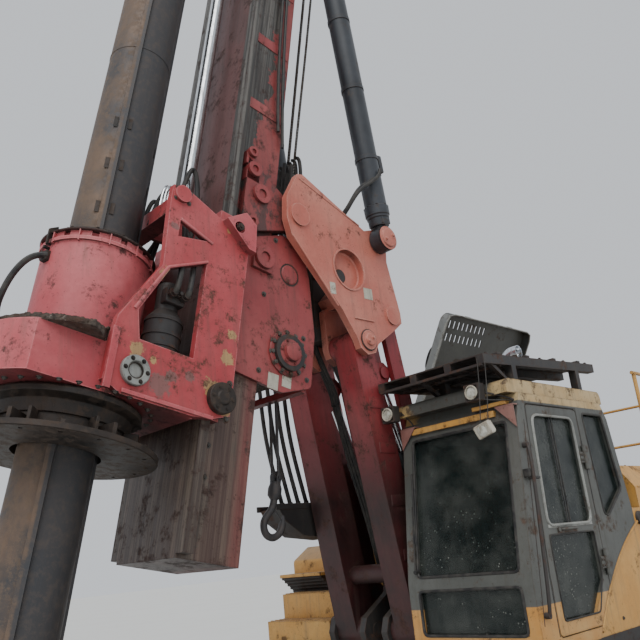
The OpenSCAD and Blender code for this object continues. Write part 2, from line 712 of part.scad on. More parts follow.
module cab_glass() {
    mid = cab_wall / 2;
    color(GLASS) slewed() {
        side(cab_y0 + 90, cab_y1 - 90) {
            pane(cab_front - mid, deck_z + 110, cab_front - mid, split_z - 50);
            pane(screen_x(split_z + 40) - mid, split_z + 40, screen_x(brow_z - 20) - mid, brow_z - 20);
        }
        side(cab_y0 + 130, cab_y1 - 130) pane(rear_x(back_z + 60) + mid, back_z + 60, rear_x(cab_top - 200) + mid, cab_top - 200);
        side(cab_y1 - mid - pane_t, cab_y1 - mid) polygon(rounded(quarter_pts, 20, 3));
        side(cab_y0 + mid, cab_y0 + mid + pane_t) polygon(right_pts);
        span([hatch_x[0], hatch_y[0], cab_top + 20], [hatch_x[1], hatch_y[1], cab_top + 20 + pane_t]);
    }
}

module cab_seat() {
    x = cab_back + 560;
    y = (cab_y0 + cab_y1) / 2;
    base = deck_z + cab_wall;
    color(DARK) slewed() {
        span([x - 180, y - 200, base], [x + 220, y + 200, base + 260]);
        side(y - 240, y + 240) polygon(rounded([[x - 250, base + 260], [x + 260, base + 260], [x + 270, base + 400], [x - 120, base + 380],
            [x - 220, base + 1020], [x - 330, base + 1010]], 25, 3));
        for (s = [-1, 1]) side(y + (s > 0 ? 260 : -370), y + (s > 0 ? 370 : -260))
            polygon(rounded([[x - 240, base], [x + 340, base], [x + 340, base + 400], [x + 180, base + 520], [x - 240, base + 480]], 30, 3));
        span([x + 620, y - 160, base], [x + 680, y + 160, base + 260]);
    }
}

knuckle_r = 14;
knuckle_h = 80;
knuckle_pin_r = 7;
door_hinge_x = door_x0 + 20;
door_hinge_y = cab_y1 + 16;
door_hinge_z = [deck_z + 430, cab_top - 480];

// The fixed half of a hinge: knuckles above and below the moving one, a strap and a pin
module fixed_knuckles(strap) {
    for (z = [-46, knuckle_h + pin_gap]) translate([0, 0, z]) {
        cylinder(r = knuckle_r, h = 46 - pin_gap);
        span(strap[0], strap[1] + [0, 0, 46 - pin_gap]);
    }
    translate([0, 0, -46]) cylinder(r = knuckle_pin_r, h = knuckle_h + 92);
}

module cab_door() {
    latch_x = door_x1 - 350;
    color(GREY) slewed() {
        difference() {
            side(cab_y1 - 50, cab_y1) difference() {
                door_outline(door_gap);
                door_low_window();
                door_high_window();
            }
            span([latch_x - 70, cab_y1 - 8, door_band[0] + 10], [latch_x + 70, cab_y1 + 1, door_band[1] - 10]);
        }
        span([latch_x - 50, cab_y1 - 8, door_band[0] + 20], [latch_x + 50, cab_y1 + 6, door_band[1] - 20]);
        for (z = door_hinge_z) translate([door_hinge_x, door_hinge_y, z]) difference() {
            union() {
                cylinder(r = knuckle_r, h = knuckle_h);
                span([0, cab_y1 - door_hinge_y, 0], [70, 0, knuckle_h]);
            }
            translate([0, 0, -1]) cylinder(r = knuckle_pin_r + pin_gap, h = knuckle_h + 2);
        }
    }
}

module door_glass() {
    color(GLASS) slewed() side(cab_y1 - 30, cab_y1 - 30 + pane_t) {
        door_low_window();
        door_high_window();
    }
}

// The guard's plate rises towards the rear; beams under it stand on the roof by posts
guard_x = [150, 1800];
guard_y = [440, 760, 1080, 1360];
guard_z = cab_top + 270;
guard_rise = 90;
function guard_low(x) = guard_z + guard_rise * (guard_x[1] - x) / (guard_x[1] - guard_x[0]);
module guard_slope(x0, x1, drop0, drop1) {
    polygon([[x0, guard_low(x0) - drop0], [x1, guard_low(x1) - drop0], [x1, guard_low(x1) - drop1], [x0, guard_low(x0) - drop1]]);
}
module roof_guard() {
    color(DARK) slewed() {
        side(guard_y[0], guard_y[3] + 60) guard_slope(guard_x[0], guard_x[1], -10, 0);
        for (y = guard_y) side(y, y + 60) guard_slope(guard_x[0], guard_x[1], 60, 0);
        for (x = [guard_x[0] + 280, guard_x[1] - 410], y = [guard_y[1], guard_y[3]])
            span([x, y, cap_top], [x + 60, y + 60, guard_low(x) - 30]);
        for (y = [guard_y[1], guard_y[3]]) side(y + 15, y + 45)
            polygon([[guard_x[1] - 350, cap_top], [guard_x[1] - 310, cap_top], [guard_x[1] - 110, guard_z - 55], [guard_x[1] - 170, guard_z - 55]]);
    }
}

lamp_y = [cab_y0 - 60, cab_y1 - 290];
module work_lamps() {
    lamp_x = cab_front - 80;
    size = 120;
    color(DARK) slewed() for (y = lamp_y) difference() {
        union() {
            span([lamp_x, y, cab_top - 30], [lamp_x + 70, y + size, cab_top - 30 + size]);
            span([lamp_x - 40 + 0.2, max(y, cab_y0 + 20) + 15, cab_top + 15], [lamp_x + 1, max(y, cab_y0 + 20) + 35, cab_top + 45]);
        }
        span([lamp_x + 58, y + 12, cab_top - 18], [lamp_x + 71, y + size - 12, cab_top - 42 + size]);
    }
}

// Front linkage

pin_d = 110;
eye_d = 230;

luff_lug_t = 34;
luff_lug_in = lane_in + link_bar_t + side_gap;
luff_lug_out = lane_out - link_bar_t - side_gap;
module boom_arm() {
    root = 520;
    tie_w = 420;
    color(RED) slewed() along(arm_foot, arm_head) difference() {
        both_sides() union() {
            side(lane_out - arm_w, lane_out) {
                circle(d = eye_d);
                translate([0, arm_len]) circle(d = eye_d);
                polygon([[-eye_d / 2, 0], [eye_d / 2, 0], [arm_depth / 2, root], [arm_depth / 2, arm_len - root],
                    [eye_d / 2, arm_len], [-eye_d / 2, arm_len], [-arm_depth / 2, arm_len - root], [-arm_depth / 2, root]]);
            }
            for (z = [0, arm_len]) bar([0, z], eye_d / 2, lane_in, lane_out);
            side(-1, lane_out - arm_w + 1) translate([0, tie_w]) circle(r = 70);
            for (y = [luff_lug_in, luff_lug_out - luff_lug_t]) side(y, y + luff_lug_t)
                polygon([[-arm_depth / 2 + 60, luff_eye_up - 260], [-luff_eye_back - 20, luff_eye_up - 85],
                    [-luff_eye_back - 75, luff_eye_up - 30], [-luff_eye_back - 75, luff_eye_up + 30],
                    [-luff_eye_back - 20, luff_eye_up + 85], [-arm_depth / 2 + 60, luff_eye_up + 110]]);
        }
        for (z = [0, arm_len]) bar([0, z], pin_d / 2 + pin_gap, -lane_out - 1, lane_out + 1);
        both_sides() bar([-luff_eye_back, luff_eye_up], luff_pin_d / 2 + pin_gap, lane_in - 1, lane_out + 1);
    }
    color(CHROME) slewed() along(arm_foot, arm_head) both_sides()
        bar([-luff_eye_back, luff_eye_up], luff_pin_d / 2, luff_lug_in - 4, luff_lug_out + 4);
}

// Four straight bars, two on each side, between the platform's and the bracket's rear pins
module link_rods() {
    half = 75;
    color(RED) slewed() along(link_foot, link_head) both_sides()
        for (y = [lane_in, lane_out - link_bar_t]) difference() {
            side(y, y + link_bar_t) {
                circle(d = eye_d - 30);
                translate([0, arm_len]) circle(d = eye_d - 30);
                polygon([[-half, 0], [half, 0], [half, arm_len], [-half, arm_len]]);
            }
            for (z = [0, arm_len]) bar([0, z], pin_d / 2 + pin_gap, y - 1, y + link_bar_t + 1);
        }
}

luff_pin_d = 70;

// Room in the rods' eyes for their drift from the pins when the linkage moves
luff_drift = 13;
mast_drift = 9.5;
luff_min = 1400;
luff_len = norm(luff_head - luff_foot);
luff_eye_w = luff_lug_out - luff_lug_in;
luff_rod_eye_w = luff_eye_w - 2 * luff_lug_t - 2 * side_gap;
module luff_barrels() {
    color(DARK) slewed() along(luff_foot, luff_head) both_sides() translate([0, luff_y, 0]) {
        difference() {
            union() {
                translate([0, 0, 120]) cylinder(d = luff_d, h = luff_min - 120);
                bar([0, 0], 90, -luff_eye_w / 2, luff_eye_w / 2);
                cylinder(d = luff_d - 20, h = 130);
                translate([0, 0, luff_min - 60]) cylinder(d = luff_d + 8, h = 60);
            }
            bar([0, 0], pin_d / 2 + pin_gap, -100, 100);
            translate([0, 0, 160]) cylinder(d = luff_d - 30, h = luff_min);
        }
        translate([0, 0, luff_min - 60]) difference() {
            cylinder(d = luff_d - 29, h = 60);
            translate([0, 0, -1]) cylinder(d = luff_rod_d + 2 * pin_gap, h = 62);
        }
    }
}
luff_rod_d = 85;

module luff_rods() {
    color(CHROME) slewed() along(luff_foot, luff_head) both_sides() translate([0, luff_y, luff_len]) difference() {
        union() {
            translate([0, 0, -luff_rod_len]) cylinder(d = luff_rod_d, h = luff_rod_len);
            translate([0, 0, -luff_rod_len]) cylinder(d = luff_d - 32, h = 60);
            bar([0, 0], 74, -luff_rod_eye_w / 2, luff_rod_eye_w / 2);
        }
        bar([0, 0], luff_pin_d / 2 + luff_drift, -100, 100);
    }
}
luff_rod_len = luff_len - 420;

// Side view of the bracket's outer plate
cyl_lug = mast_cyl_foot - arm_head;
pivot_lug = mast_pivot - arm_head;
module bracket_outline() {
    polygon([[-115, -20], [-70, -95], [20, -120], [95, -75], [120, 0], [260, 220], pivot_lug + [95, -190], pivot_lug + [130, -40],
        pivot_lug + [110, 140], pivot_lug + [-20, 360], pivot_lug + [-80, 370], cyl_lug + [150, 75], cyl_lug + [40, 110],
        cyl_lug + [-70, 95], cyl_lug + [-110, 0], cyl_lug + [-90, -160], link_offset + [-110, 40], link_offset + [-110, -50],
        link_offset + [-30, -110]]);
}

module mast_bracket() {
    hole = [130, 570];
    color(RED) slewed() translate([arm_head[0], 0, arm_head[1]]) {
        both_sides() {
            difference() {
                side(cheek_in, cheek_out) bracket_outline();
                for (p = [[0, 0], link_offset]) bar(p, pin_d / 2 + pin_gap, cheek_in - 1, cheek_out + 1);
                bar(hole, bracket_hole_d / 2, cheek_in - 1, cheek_out + 1);
                bar(cyl_lug, pin_d / 2 + pin_gap, cheek_in - 1, cheek_out + 1);
                bar(pivot_lug, pivot_d / 2 + pin_gap, cheek_in - 1, cheek_out + 1);
            }
            side(lane_wall_in, lane_in - side_gap) difference() {
                polygon([[-115, -20], [-70, -95], [20, -120], [95, -75], [120, 0], [120, 330], [-330, 600], [-440, 420], link_offset + [-110, 40],
                    link_offset + [-110, -50], link_offset + [-30, -110]]);
                for (p = [[0, 0], link_offset]) translate(p) circle(d = pin_d + 2 * pin_gap);
            }
            for (p = [[0, 0], link_offset]) {
                bar(p, pin_d / 2, lane_wall_in - 4, cheek_out + 14);
                bar(p, pin_d / 2 + 24, cheek_out, cheek_out + 14);
            }
            bar(cyl_lug, pin_d / 2, cheek_in - 10, mast_cyl_y + 66);
            bar(cyl_lug, pin_d / 2 + 30, mast_cyl_y + 52, mast_cyl_y + 66);
            bar(cyl_lug, pin_d / 2 + 30, cheek_in - 10, cheek_in);
            bar(pivot_lug, pivot_d / 2, mast_half + 4, cheek_out + 16);
            bar(pivot_lug, pivot_d / 2 + 28, cheek_out, cheek_out + 16);
        }
        difference() {
            side(-cheek_in, cheek_in) polygon([[-230, 385], [60, 335], [110, 420], [-120, 640], [-330, 600]]);
            side(-cheek_in + 30, cheek_in - 30) polygon([[-210, 412], [45, 368], [72, 418], [-128, 604], [-290, 575]]);
        }
    }
}
pivot_d = 130;

mast_cyl_len = norm(mast_cyl_head - mast_cyl_foot);
mast_barrel_len = 3020;
mast_rod_d = 130;
mast_rod_len = mast_cyl_len - 700;
mast_eye_half = 50;
mast_stem_d = 2 * mast_eye_half - 2;
mast_ear_out = mast_cyl_y - max(mast_eye_half, mast_rod_d / 2) - side_gap;
mast_pin_out = 2 * mast_cyl_y - mast_ear_out;
module mast_barrels() {
    color(DARK) slewed() along(mast_cyl_foot, mast_cyl_head) both_sides() translate([0, mast_cyl_y, 0]) {
        difference() {
            union() {
                translate([0, 0, 190]) cylinder(d = mast_cyl_d, h = mast_barrel_len - 190);
                translate([0, 0, 150]) cylinder(d1 = mast_stem_d, d2 = mast_cyl_d, h = 41);
                cylinder(d = mast_stem_d, h = 160);
                bar([0, 0], 105, -mast_eye_half, mast_eye_half);
            }
            bar([0, 0], pin_d / 2 + pin_gap, -100, 100);
            translate([0, 0, 260]) cylinder(d = mast_cyl_d - 36, h = mast_barrel_len);
        }
        translate([0, 0, mast_barrel_len - 90]) difference() {
            cylinder(d = mast_cyl_d + 4, h = 90);
            translate([0, 0, -1]) cylinder(d = mast_rod_d + 2 * pin_gap, h = 92);
        }
    }
}

module mast_rods() {
    color(CHROME) slewed() along(mast_cyl_foot, mast_cyl_head) both_sides() translate([0, mast_cyl_y, mast_cyl_len]) difference() {
        union() {
            translate([0, 0, -mast_rod_len]) cylinder(d = mast_rod_d, h = mast_rod_len);
            translate([0, 0, -mast_rod_len]) cylinder(d = mast_cyl_d - 38, h = 80);
            bar([0, 0], 90, -mast_eye_half, mast_eye_half);
        }
        bar([0, 0], luff_pin_d / 2 + mast_drift, -100, 100);
    }
}

// Mast

// A hollow length of the mast from w0 to w1, with a rail on each front corner and end flanges
module mast_length(w0, w1, low_flange, high_flange) {
    flange_out = 55;
    difference() {
        union() {
            span([mast_back_u, -mast_half, w0], [mast_front_u, mast_half, w1]);
            both_sides() span([mast_front_u - rail_t, mast_half, w0], [mast_front_u, rail_out, w1]);
            for (f = [[low_flange, w0], [high_flange, w1 - 35]]) if (f[0])
                span([mast_back_u - flange_out, -mast_half - flange_out, f[1]], [rear_zone_u, mast_half + flange_out, f[1] + 35]);
        }
        span([mast_back_u + mast_wall, -mast_half + mast_wall, w0 - 1], [mast_front_u - mast_wall, mast_half - mast_wall, w1 + 1]);
    }
}

joint_w = [3100, 8900];
ear_t = 60;
module mast_lower() {
    color(RED) on_mast() {
        mast_length(-mast_down, joint_w[0], false, true);
        span([mast_back_u, -mast_half, -mast_down - 25], [mast_front_u, mast_half, -mast_down]);
        both_sides() difference() {
            side(mast_half, mast_half + ear_t) polygon([[-110, -70], [-60, -115], [40, -125], [rear_zone_u, -330],
                [rear_zone_u, 330], [40, 125], [-60, 115], [-110, 70]]);
            bar([0, 0], pivot_d / 2 + pin_gap, mast_half - 1, mast_half + ear_t + 1);
        }
    }
}

module mast_middle() {
    ear = mast_ear_uw;
    color(GREY) on_mast() {
        mast_length(joint_w[0], joint_w[1], true, true);
        both_sides() {
            side(mast_half, mast_ear_out) polygon([ear + [-100, -70], ear + [-30, -115], ear + [80, -105],
                ear + [165, -240], ear + [165, 240], ear + [80, 105], ear + [-30, 115], ear + [-100, 70]]);
            bar(ear, luff_pin_d / 2, mast_ear_out - 1, mast_pin_out + 12);
            bar(ear, luff_pin_d / 2 + 26, mast_pin_out, mast_pin_out + 12);
        }
    }
}

module mast_upper() {
    color(GREY) on_mast() mast_length(joint_w[1], mast_up, true, true);
}

// Sheaves at the mast's head, each [u, y, radius]
sheave_r = 300;
head_w = mast_up + 700;
main_sheave_y = -110;
aux_sheave_y = 190;
front_sheave_u = kelly_u - sheave_r;
rear_sheave_u = -40;
sheave_half = 32;
sheave_pin_d = 90;
head_plate_t = 20;
head_y = [main_sheave_y - 75, 40, aux_sheave_y + 75];

module sheave(u, y) {
    color(GREY) on_mast() translate([u, y, head_w]) rotate([90, 0, 0]) rotate_extrude($fn = 96)
        polygon([[sheave_pin_d / 2 + pin_gap, -sheave_half - 12], [110, -sheave_half - 12], [110, -14],
            [sheave_r - 60, -14], [sheave_r - 60, -sheave_half], [sheave_r + 26, -sheave_half], [sheave_r - 14, -10],
            [sheave_r - 14, 10], [sheave_r + 26, sheave_half], [sheave_r - 60, sheave_half], [sheave_r - 60, 14], [110, 14],
            [110, sheave_half + 12], [sheave_pin_d / 2 + pin_gap, sheave_half + 12]]);
}

module mast_head() {
    color(RED) on_mast() {
        span([mast_back_u - 55, -mast_half - 55, mast_up], [rear_zone_u, mast_half + 55, mast_up + 35]);
        for (y = head_y) side(y - head_plate_t / 2, y + head_plate_t / 2) difference() {
            polygon([[mast_back_u, mast_up + 35], [mast_front_u - 110, mast_up + 35], [front_sheave_u + 110, head_w - 110],
                [front_sheave_u + 110, head_w + 90], [rear_sheave_u - 110, head_w + 90], [rear_sheave_u - 110, head_w - 110]]);
            for (u = [rear_sheave_u, front_sheave_u]) translate([u, head_w]) circle(d = sheave_pin_d + 0.02);
        }
        for (u = [rear_sheave_u, front_sheave_u]) bar([u, head_w], sheave_pin_d / 2, head_y[0] - 30, head_y[2] + 30);
        for (p = [[mast_back_u + 60, mast_up + 90], [front_sheave_u - 420, head_w - 60]])
            span([p[0], head_y[0], p[1]], [p[0] + 60, head_y[2], p[1] + 60]);
    }
}

// Winches behind the mast, each [u, w, drum radius, reach of the hub past its plate]
main_winch = [-80, -1100, 165, 45];
aux_winch = [-40, -470, 120, -2];
winch_y = mast_half;
winch_t = 30;
drum_half = 280;
winch_hub = 30;
module winch_frame() {
    front = rear_zone_u - 45;
    color(RED) on_mast() {
        both_sides() difference() {
            side(winch_y, winch_y + winch_t) polygon(rounded([[main_winch[0] - 250, main_winch[1] - 190],
                [main_winch[0] + 20, main_winch[1] - 300], [front, main_winch[1] - 260], [front, -345], [60, -165],
                [-150, -190], [aux_winch[0] - 195, aux_winch[1] + 50], [main_winch[0] - 250, main_winch[1] + 230]], 50, 3));
            for (k = [main_winch, aux_winch])
                bar([k[0], k[1]], k[2] - winch_hub + pin_gap, winch_y - 1, winch_y + winch_t + 1);
        }
        for (w = [main_winch[1] - 230, main_winch[1] + 250]) span([main_winch[0] - 220, -winch_y - 1, w], [main_winch[0] - 170, winch_y + 1, w + 50]);
    }
}

// A winch drum with its flanges and stub axles; the main drum's gear housing shows on the left
module winch_drum(k) {
    color(DARK) on_mast() {
        bar([k[0], k[1]], k[2], -drum_half, drum_half);
        for (s = [-1, 1]) bar([k[0], k[1]], k[2] + 45, s > 0 ? drum_half : -drum_half - 30, s > 0 ? drum_half + 30 : -drum_half);
        bar([k[0], k[1]], k[2] - winch_hub, -winch_y - winch_t - min(12, k[3]), winch_y + winch_t + k[3]);
    }
}

// Rotary drive

crowd_d = 170;
crowd_rod_d = 105;
crowd_low_w = 4700;
crowd_len = 6300;
crowd_pin_uw = [crowd_u, -330];
crowd_rod_len = 6150;
crowd_eye_half = 55;
module crowd_barrel() {
    color(DARK) on_mast() {
        difference() {
            translate([crowd_u, 0, crowd_low_w]) cylinder(d = crowd_d, h = crowd_len);
            translate([crowd_u, 0, crowd_low_w - 1]) cylinder(d = crowd_d - 34, h = crowd_len - 120);
        }
        translate([crowd_u, 0, crowd_low_w]) difference() {
            cylinder(d = crowd_d + 20, h = 80);
            translate([0, 0, -1]) cylinder(d = crowd_rod_d + 2 * pin_gap, h = 82);
        }
        for (w = [crowd_low_w + 500, crowd_low_w + 3100, crowd_low_w + crowd_len - 400]) difference() {
            span([mast_front_u, -150, w], [crowd_u + 30, 150, w + 120]);
            translate([crowd_u, 0, w - 1]) cylinder(d = crowd_d - 10, h = 122);
        }
    }
}

module crowd_rod() {
    color(CHROME) on_mast() translate([crowd_u, 0, crowd_pin_uw[1]]) difference() {
        union() {
            cylinder(d = crowd_rod_d, h = crowd_rod_len);
            translate([0, 0, crowd_rod_len - 80]) cylinder(d = crowd_d - 36, h = 80);
            bar([0, 0], 80, -crowd_eye_half, crowd_eye_half);
        }
        bar([0, 0], luff_pin_d / 2 + pin_gap, -100, 100);
    }
}

// Carriage plates and pads that run on the mast's rails
plate_in = rail_out + 10;
plate_out = plate_in + 50;
pad_low_w = -1640;
pad_high_w = -400;
pad_h = 260;
head_uw = [1010, -350];
cross_u = kelly_u - kelly_d / 2 - rib_h - 20;
module drive_frame() {
    color(RED) on_mast() {
        both_sides() {
            side(plate_in, plate_out) difference() {
                polygon([[430, pad_high_w + 70], [510, pad_high_w + 130], [680, pad_high_w + 20], [head_uw[0] - 60, head_uw[1] + 60],
                    head_uw + [70, 50], head_uw + [75, -50], [1060, -900], [1290, -1340], [1310, gearbox_top_w - 40],
                    [1310, gearbox_low_w + 60], [1190, gearbox_low_w], [700, gearbox_low_w], [560, pad_low_w - 140], [430, pad_low_w - 90]]);
                polygon([[740, -590], [990, -520], [990, -660]]);
                polygon([[750, -760], [1000, -900], [1170, -1260], [1130, gearbox_top_w + 60], [750, gearbox_top_w + 60]]);
            }
            for (w = [pad_low_w, pad_high_w]) {
                span([mast_front_u + slide_gap, mast_half + 10, w - pad_h / 2], [mast_front_u + 60, plate_in, w + pad_h / 2]);
                span([mast_front_u - rail_t - 50, mast_half + 20, w - pad_h / 2], [mast_front_u - rail_t - slide_gap, plate_in, w + pad_h / 2]);
                span([mast_front_u - rail_t - 50, rail_out + slide_gap, w - pad_h / 2], [mast_front_u + 60, plate_in, w + pad_h / 2]);
                bar([520, w], 62, plate_out, plate_out + 40);
            }
            bar(head_uw, 60, plate_out, plate_out + 26);
        }
        span([cross_u - 120, -plate_in, head_uw[1] - 60], [cross_u, plate_in, head_uw[1] + 60]);
        for (s = [-1, 1]) difference() {
            side(s > 0 ? crowd_eye_half + 3 : -crowd_eye_half - 38, s > 0 ? crowd_eye_half + 38 : -crowd_eye_half - 3)
                polygon([[crowd_u - 75, crowd_pin_uw[1] - 60], [crowd_u - 75, crowd_pin_uw[1] + 60], [cross_u - 60, head_uw[1] + 60],
                    [cross_u - 60, head_uw[1] - 60]]);
            bar([crowd_u, crowd_pin_uw[1]], luff_pin_d / 2 + pin_gap, s > 0 ? 0 : -200, s > 0 ? 200 : 0);
        }
        bar([crowd_u, crowd_pin_uw[1]], luff_pin_d / 2, -crowd_eye_half - 50, crowd_eye_half + 50);
    }
}

// Plan of the gearbox about the kelly's axis, drawn in by t
module gearbox_plan(t) {
    translate([kelly_u, 0]) circle(r = gearbox_r - t, $fn = 96);
    translate([mast_front_u + 70 + t, -plate_in + t]) square([kelly_u - mast_front_u - 70 - t, 2 * plate_in - 2 * t]);
}

module drive_gearbox() {
    color(RED) on_mast() {
        difference() {
            translate([0, 0, gearbox_low_w]) linear_extrude(gearbox_h) intersection() {
                gearbox_plan(0);
                translate([mast_front_u + 70, -plate_in]) square([2000, 2 * plate_in]);
            }
            translate([kelly_u, 0, gearbox_low_w - 1]) cylinder(r = sleeve_r + 8, h = gearbox_h + 2);
        }
        difference() {
            translate([kelly_u, 0, gearbox_top_w]) {
                cylinder(d = drum_d - 40, h = ring_h + 1);
                translate([0, 0, ring_h]) cylinder(d = drum_d, h = drum_h);
                translate([0, 0, ring_h + drum_h - 70]) cylinder(d = drum_d + 36, h = 24);
            }
            translate([kelly_u, 0, gearbox_top_w - 1]) cylinder(r = sleeve_r + 8, h = ring_h + drum_h + 2);
            for (i = [0 : 11]) translate([kelly_u, 0, drum_top_w - 40]) rotate(i * 30) span([drum_d / 2 - 22, -22, 0], [drum_d / 2 + 1, 22, 41]);
        }
    }
}

motor_uy = [[880, 275], [880, -275]];
module drive_motors() {
    color(GREY) on_mast() for (m = motor_uy) translate([m[0], m[1], gearbox_top_w]) {
        cylinder(d = 300, h = 40);
        cylinder(d = 240, h = 330);
        translate([0, 0, 330]) cylinder(d1 = 240, d2 = 150, h = 60);
        translate([0, 0, 390]) cylinder(d = 150, h = 170);
    }
}

flange_bolts = 16;
flange_bolt_d = 26;
flange_pcd = guard_d - 110;
module drive_sleeve() {
    color(RUST) on_mast() translate([kelly_u, 0, 0]) difference() {
        union() {
            translate([0, 0, guard_w]) cylinder(r = sleeve_r, h = drum_top_w - guard_w + 40);
            translate([0, 0, gearbox_low_w - sleeve_h]) cylinder(r = sleeve_r + 70, h = sleeve_h - pin_gap);
            translate([0, 0, guard_w]) cylinder(d = guard_d, h = guard_t);
            translate([0, 0, drum_top_w + 2]) cylinder(r = sleeve_r + 22, h = 38);
        }
        translate([0, 0, guard_w - 1]) cylinder(r = sleeve_bore, h = drum_top_w - guard_w + 60);
        for (i = [0 : flange_bolts - 1]) rotate(i * 360 / flange_bolts) translate([flange_pcd / 2, 0, guard_w - 1])
            cylinder(d = flange_bolt_d, h = guard_t + 2);
    }
}

// Kelly

rib_w = 44;
spring_turns = 5;
module kelly_outer() {
    color(RUST) on_mast() translate([kelly_u, 0, kelly_low_w]) {
        difference() {
            union() {
                cylinder(d = kelly_d, h = kelly_len);
                for (a = [60, 180, 300]) rotate(a) span([kelly_d / 2 - 8, -rib_w / 2, 150], [kelly_d / 2 + rib_h, rib_w / 2, kelly_len - 900]);
            }
            translate([0, 0, -1]) cylinder(d = kelly_d - 2 * kelly_wall, h = kelly_len + 2);
        }
        difference() {
            translate([0, 0, kelly_len - 760]) cylinder(d = kelly_d + 90, h = 40);
            translate([0, 0, kelly_len - 761]) cylinder(d = kelly_d - 1, h = 42);
        }
    }
}

module kelly_inner() {
    color(RUST) on_mast() translate([kelly_u, 0, 0]) {
        difference() {
            union() {
                translate([0, 0, kelly_low_w - spring_h]) cylinder(d = inner_d, h = kelly_len + spring_h - 160);
                translate([0, 0, kelly_top_w - 500]) cylinder(d = kelly_d - 2 * kelly_wall - 2 * pin_gap, h = 340);
            }
            translate([0, 0, kelly_low_w - spring_h + 80]) cylinder(d = inner_d - 90, h = kelly_len + spring_h);
        }
        for (i = [0 : spring_turns - 1]) translate([0, 0, kelly_low_w - spring_h + 22 + i * 37])
            rotate_extrude() translate([inner_d / 2 + 12, 0]) circle(r = 16, $fn = 16);
        translate([0, 0, tray_w]) cylinder(d = 560, h = tray_t + 1);
        difference() {
            span([-stub_w / 2, -stub_w / 2, tray_w - stub_h], [stub_w / 2, stub_w / 2, tray_w + 1]);
            bar([0, tray_w - stub_h + 130], stub_pin_d / 2, -stub_w, stub_w);
        }
    }
}

module kelly_swivel() {
    color(GREY) on_mast() translate([kelly_u, 0, kelly_top_w - 160]) {
        cylinder(d = inner_d - 4, h = 40);
        translate([0, 0, 40]) cylinder(d = 190, h = 330);
        translate([0, 0, 370]) cylinder(d1 = 190, d2 = 110, h = 60);
        difference() {
            translate([0, 0, 430]) span([-28, -55, 0], [28, 55, 130]);
            translate([0, 0, 500]) rotate([0, 90, 0]) cylinder(d = 50, h = 80, center = true);
        }
    }
}

guide_w = kelly_top_w - 700;
guide_h = 600;
guide_reach = 245;
module kelly_guide() {
    ring_r = kelly_d / 2 + 85;
    color(RED) on_mast() {
        difference() {
            union() {
                translate([kelly_u, 0, guide_w]) cylinder(r = ring_r, h = 60);
                translate([kelly_u, 0, guide_w + guide_h - 60]) cylinder(r = ring_r, h = 60);
                for (w = [guide_w, guide_w + guide_h - 60]) span([mast_front_u + guide_reach, -plate_in, w], [kelly_u - 80, plate_in, w + 60]);
                both_sides() side(plate_in, plate_in + 24) polygon([[mast_front_u - rail_t - 50, guide_w], [mast_front_u + guide_reach, guide_w],
                    [kelly_u - 80, guide_w], [kelly_u - 80, guide_w + 60], [mast_front_u + guide_reach + 40, guide_w + 120],
                    [mast_front_u + guide_reach + 40, guide_w + guide_h - 120], [kelly_u - 80, guide_w + guide_h - 60],
                    [kelly_u - 80, guide_w + guide_h], [mast_front_u - rail_t - 50, guide_w + guide_h]]);
            }
            translate([kelly_u, 0, guide_w - 1]) cylinder(d = kelly_d + 1, h = guide_h + 2);
        }
        for (w = [guide_w + 90, guide_w + guide_h - 90]) both_sides() {
            span([mast_front_u + slide_gap, mast_half + 10, w - 80], [mast_front_u + 50, plate_in, w + 80]);
            span([mast_front_u - rail_t - 50, mast_half + 20, w - 80], [mast_front_u - rail_t - slide_gap, plate_in, w + 80]);
            span([mast_front_u - rail_t - 50, rail_out + slide_gap, w - 80], [mast_front_u + 50, plate_in, w + 80]);
        }
    }
}

car_body();
track_frame();  // track_frame_left
mirror([0, 1, 0]) track_frame();  // track_frame_right
track();  // track_left
mirror([0, 1, 0]) track();  // track_right
platform();
counterweight();
engine_bay();
engine_block();
engine_hood();
service_door();  // service_door_left
mirror([0, 1, 0]) service_door();  // service_door_right
fuel_tank();
exhaust();
handrails();
cab_frame();
cab_glass();
cab_seat();
cab_door();
door_glass();
roof_guard();
work_lamps();
boom_arm();
link_rods();
luff_barrels();
luff_rods();
mast_bracket();
mast_barrels();
mast_rods();
mast_lower();
mast_middle();
mast_upper();
mast_head();
winch_frame();
winch_drum(main_winch);  // main_drum
winch_drum(aux_winch);  // aux_drum
sheave(front_sheave_u, main_sheave_y);  // main_front_sheave
sheave(rear_sheave_u, main_sheave_y);  // main_rear_sheave
sheave(front_sheave_u, aux_sheave_y);  // aux_front_sheave
sheave(rear_sheave_u, aux_sheave_y);  // aux_rear_sheave
crowd_barrel();
crowd_rod();
drive_frame();
drive_gearbox();
drive_motors();
drive_sleeve();
kelly_guide();
kelly_outer();
kelly_inner();
kelly_swivel();
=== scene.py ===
"""Looks of the rotary piling rig: worn paint, rust, glass, hoses, ropes, bolts and fittings."""
import json
import math

import bmesh
import bpy
from mathutils import Matrix, Vector, noise

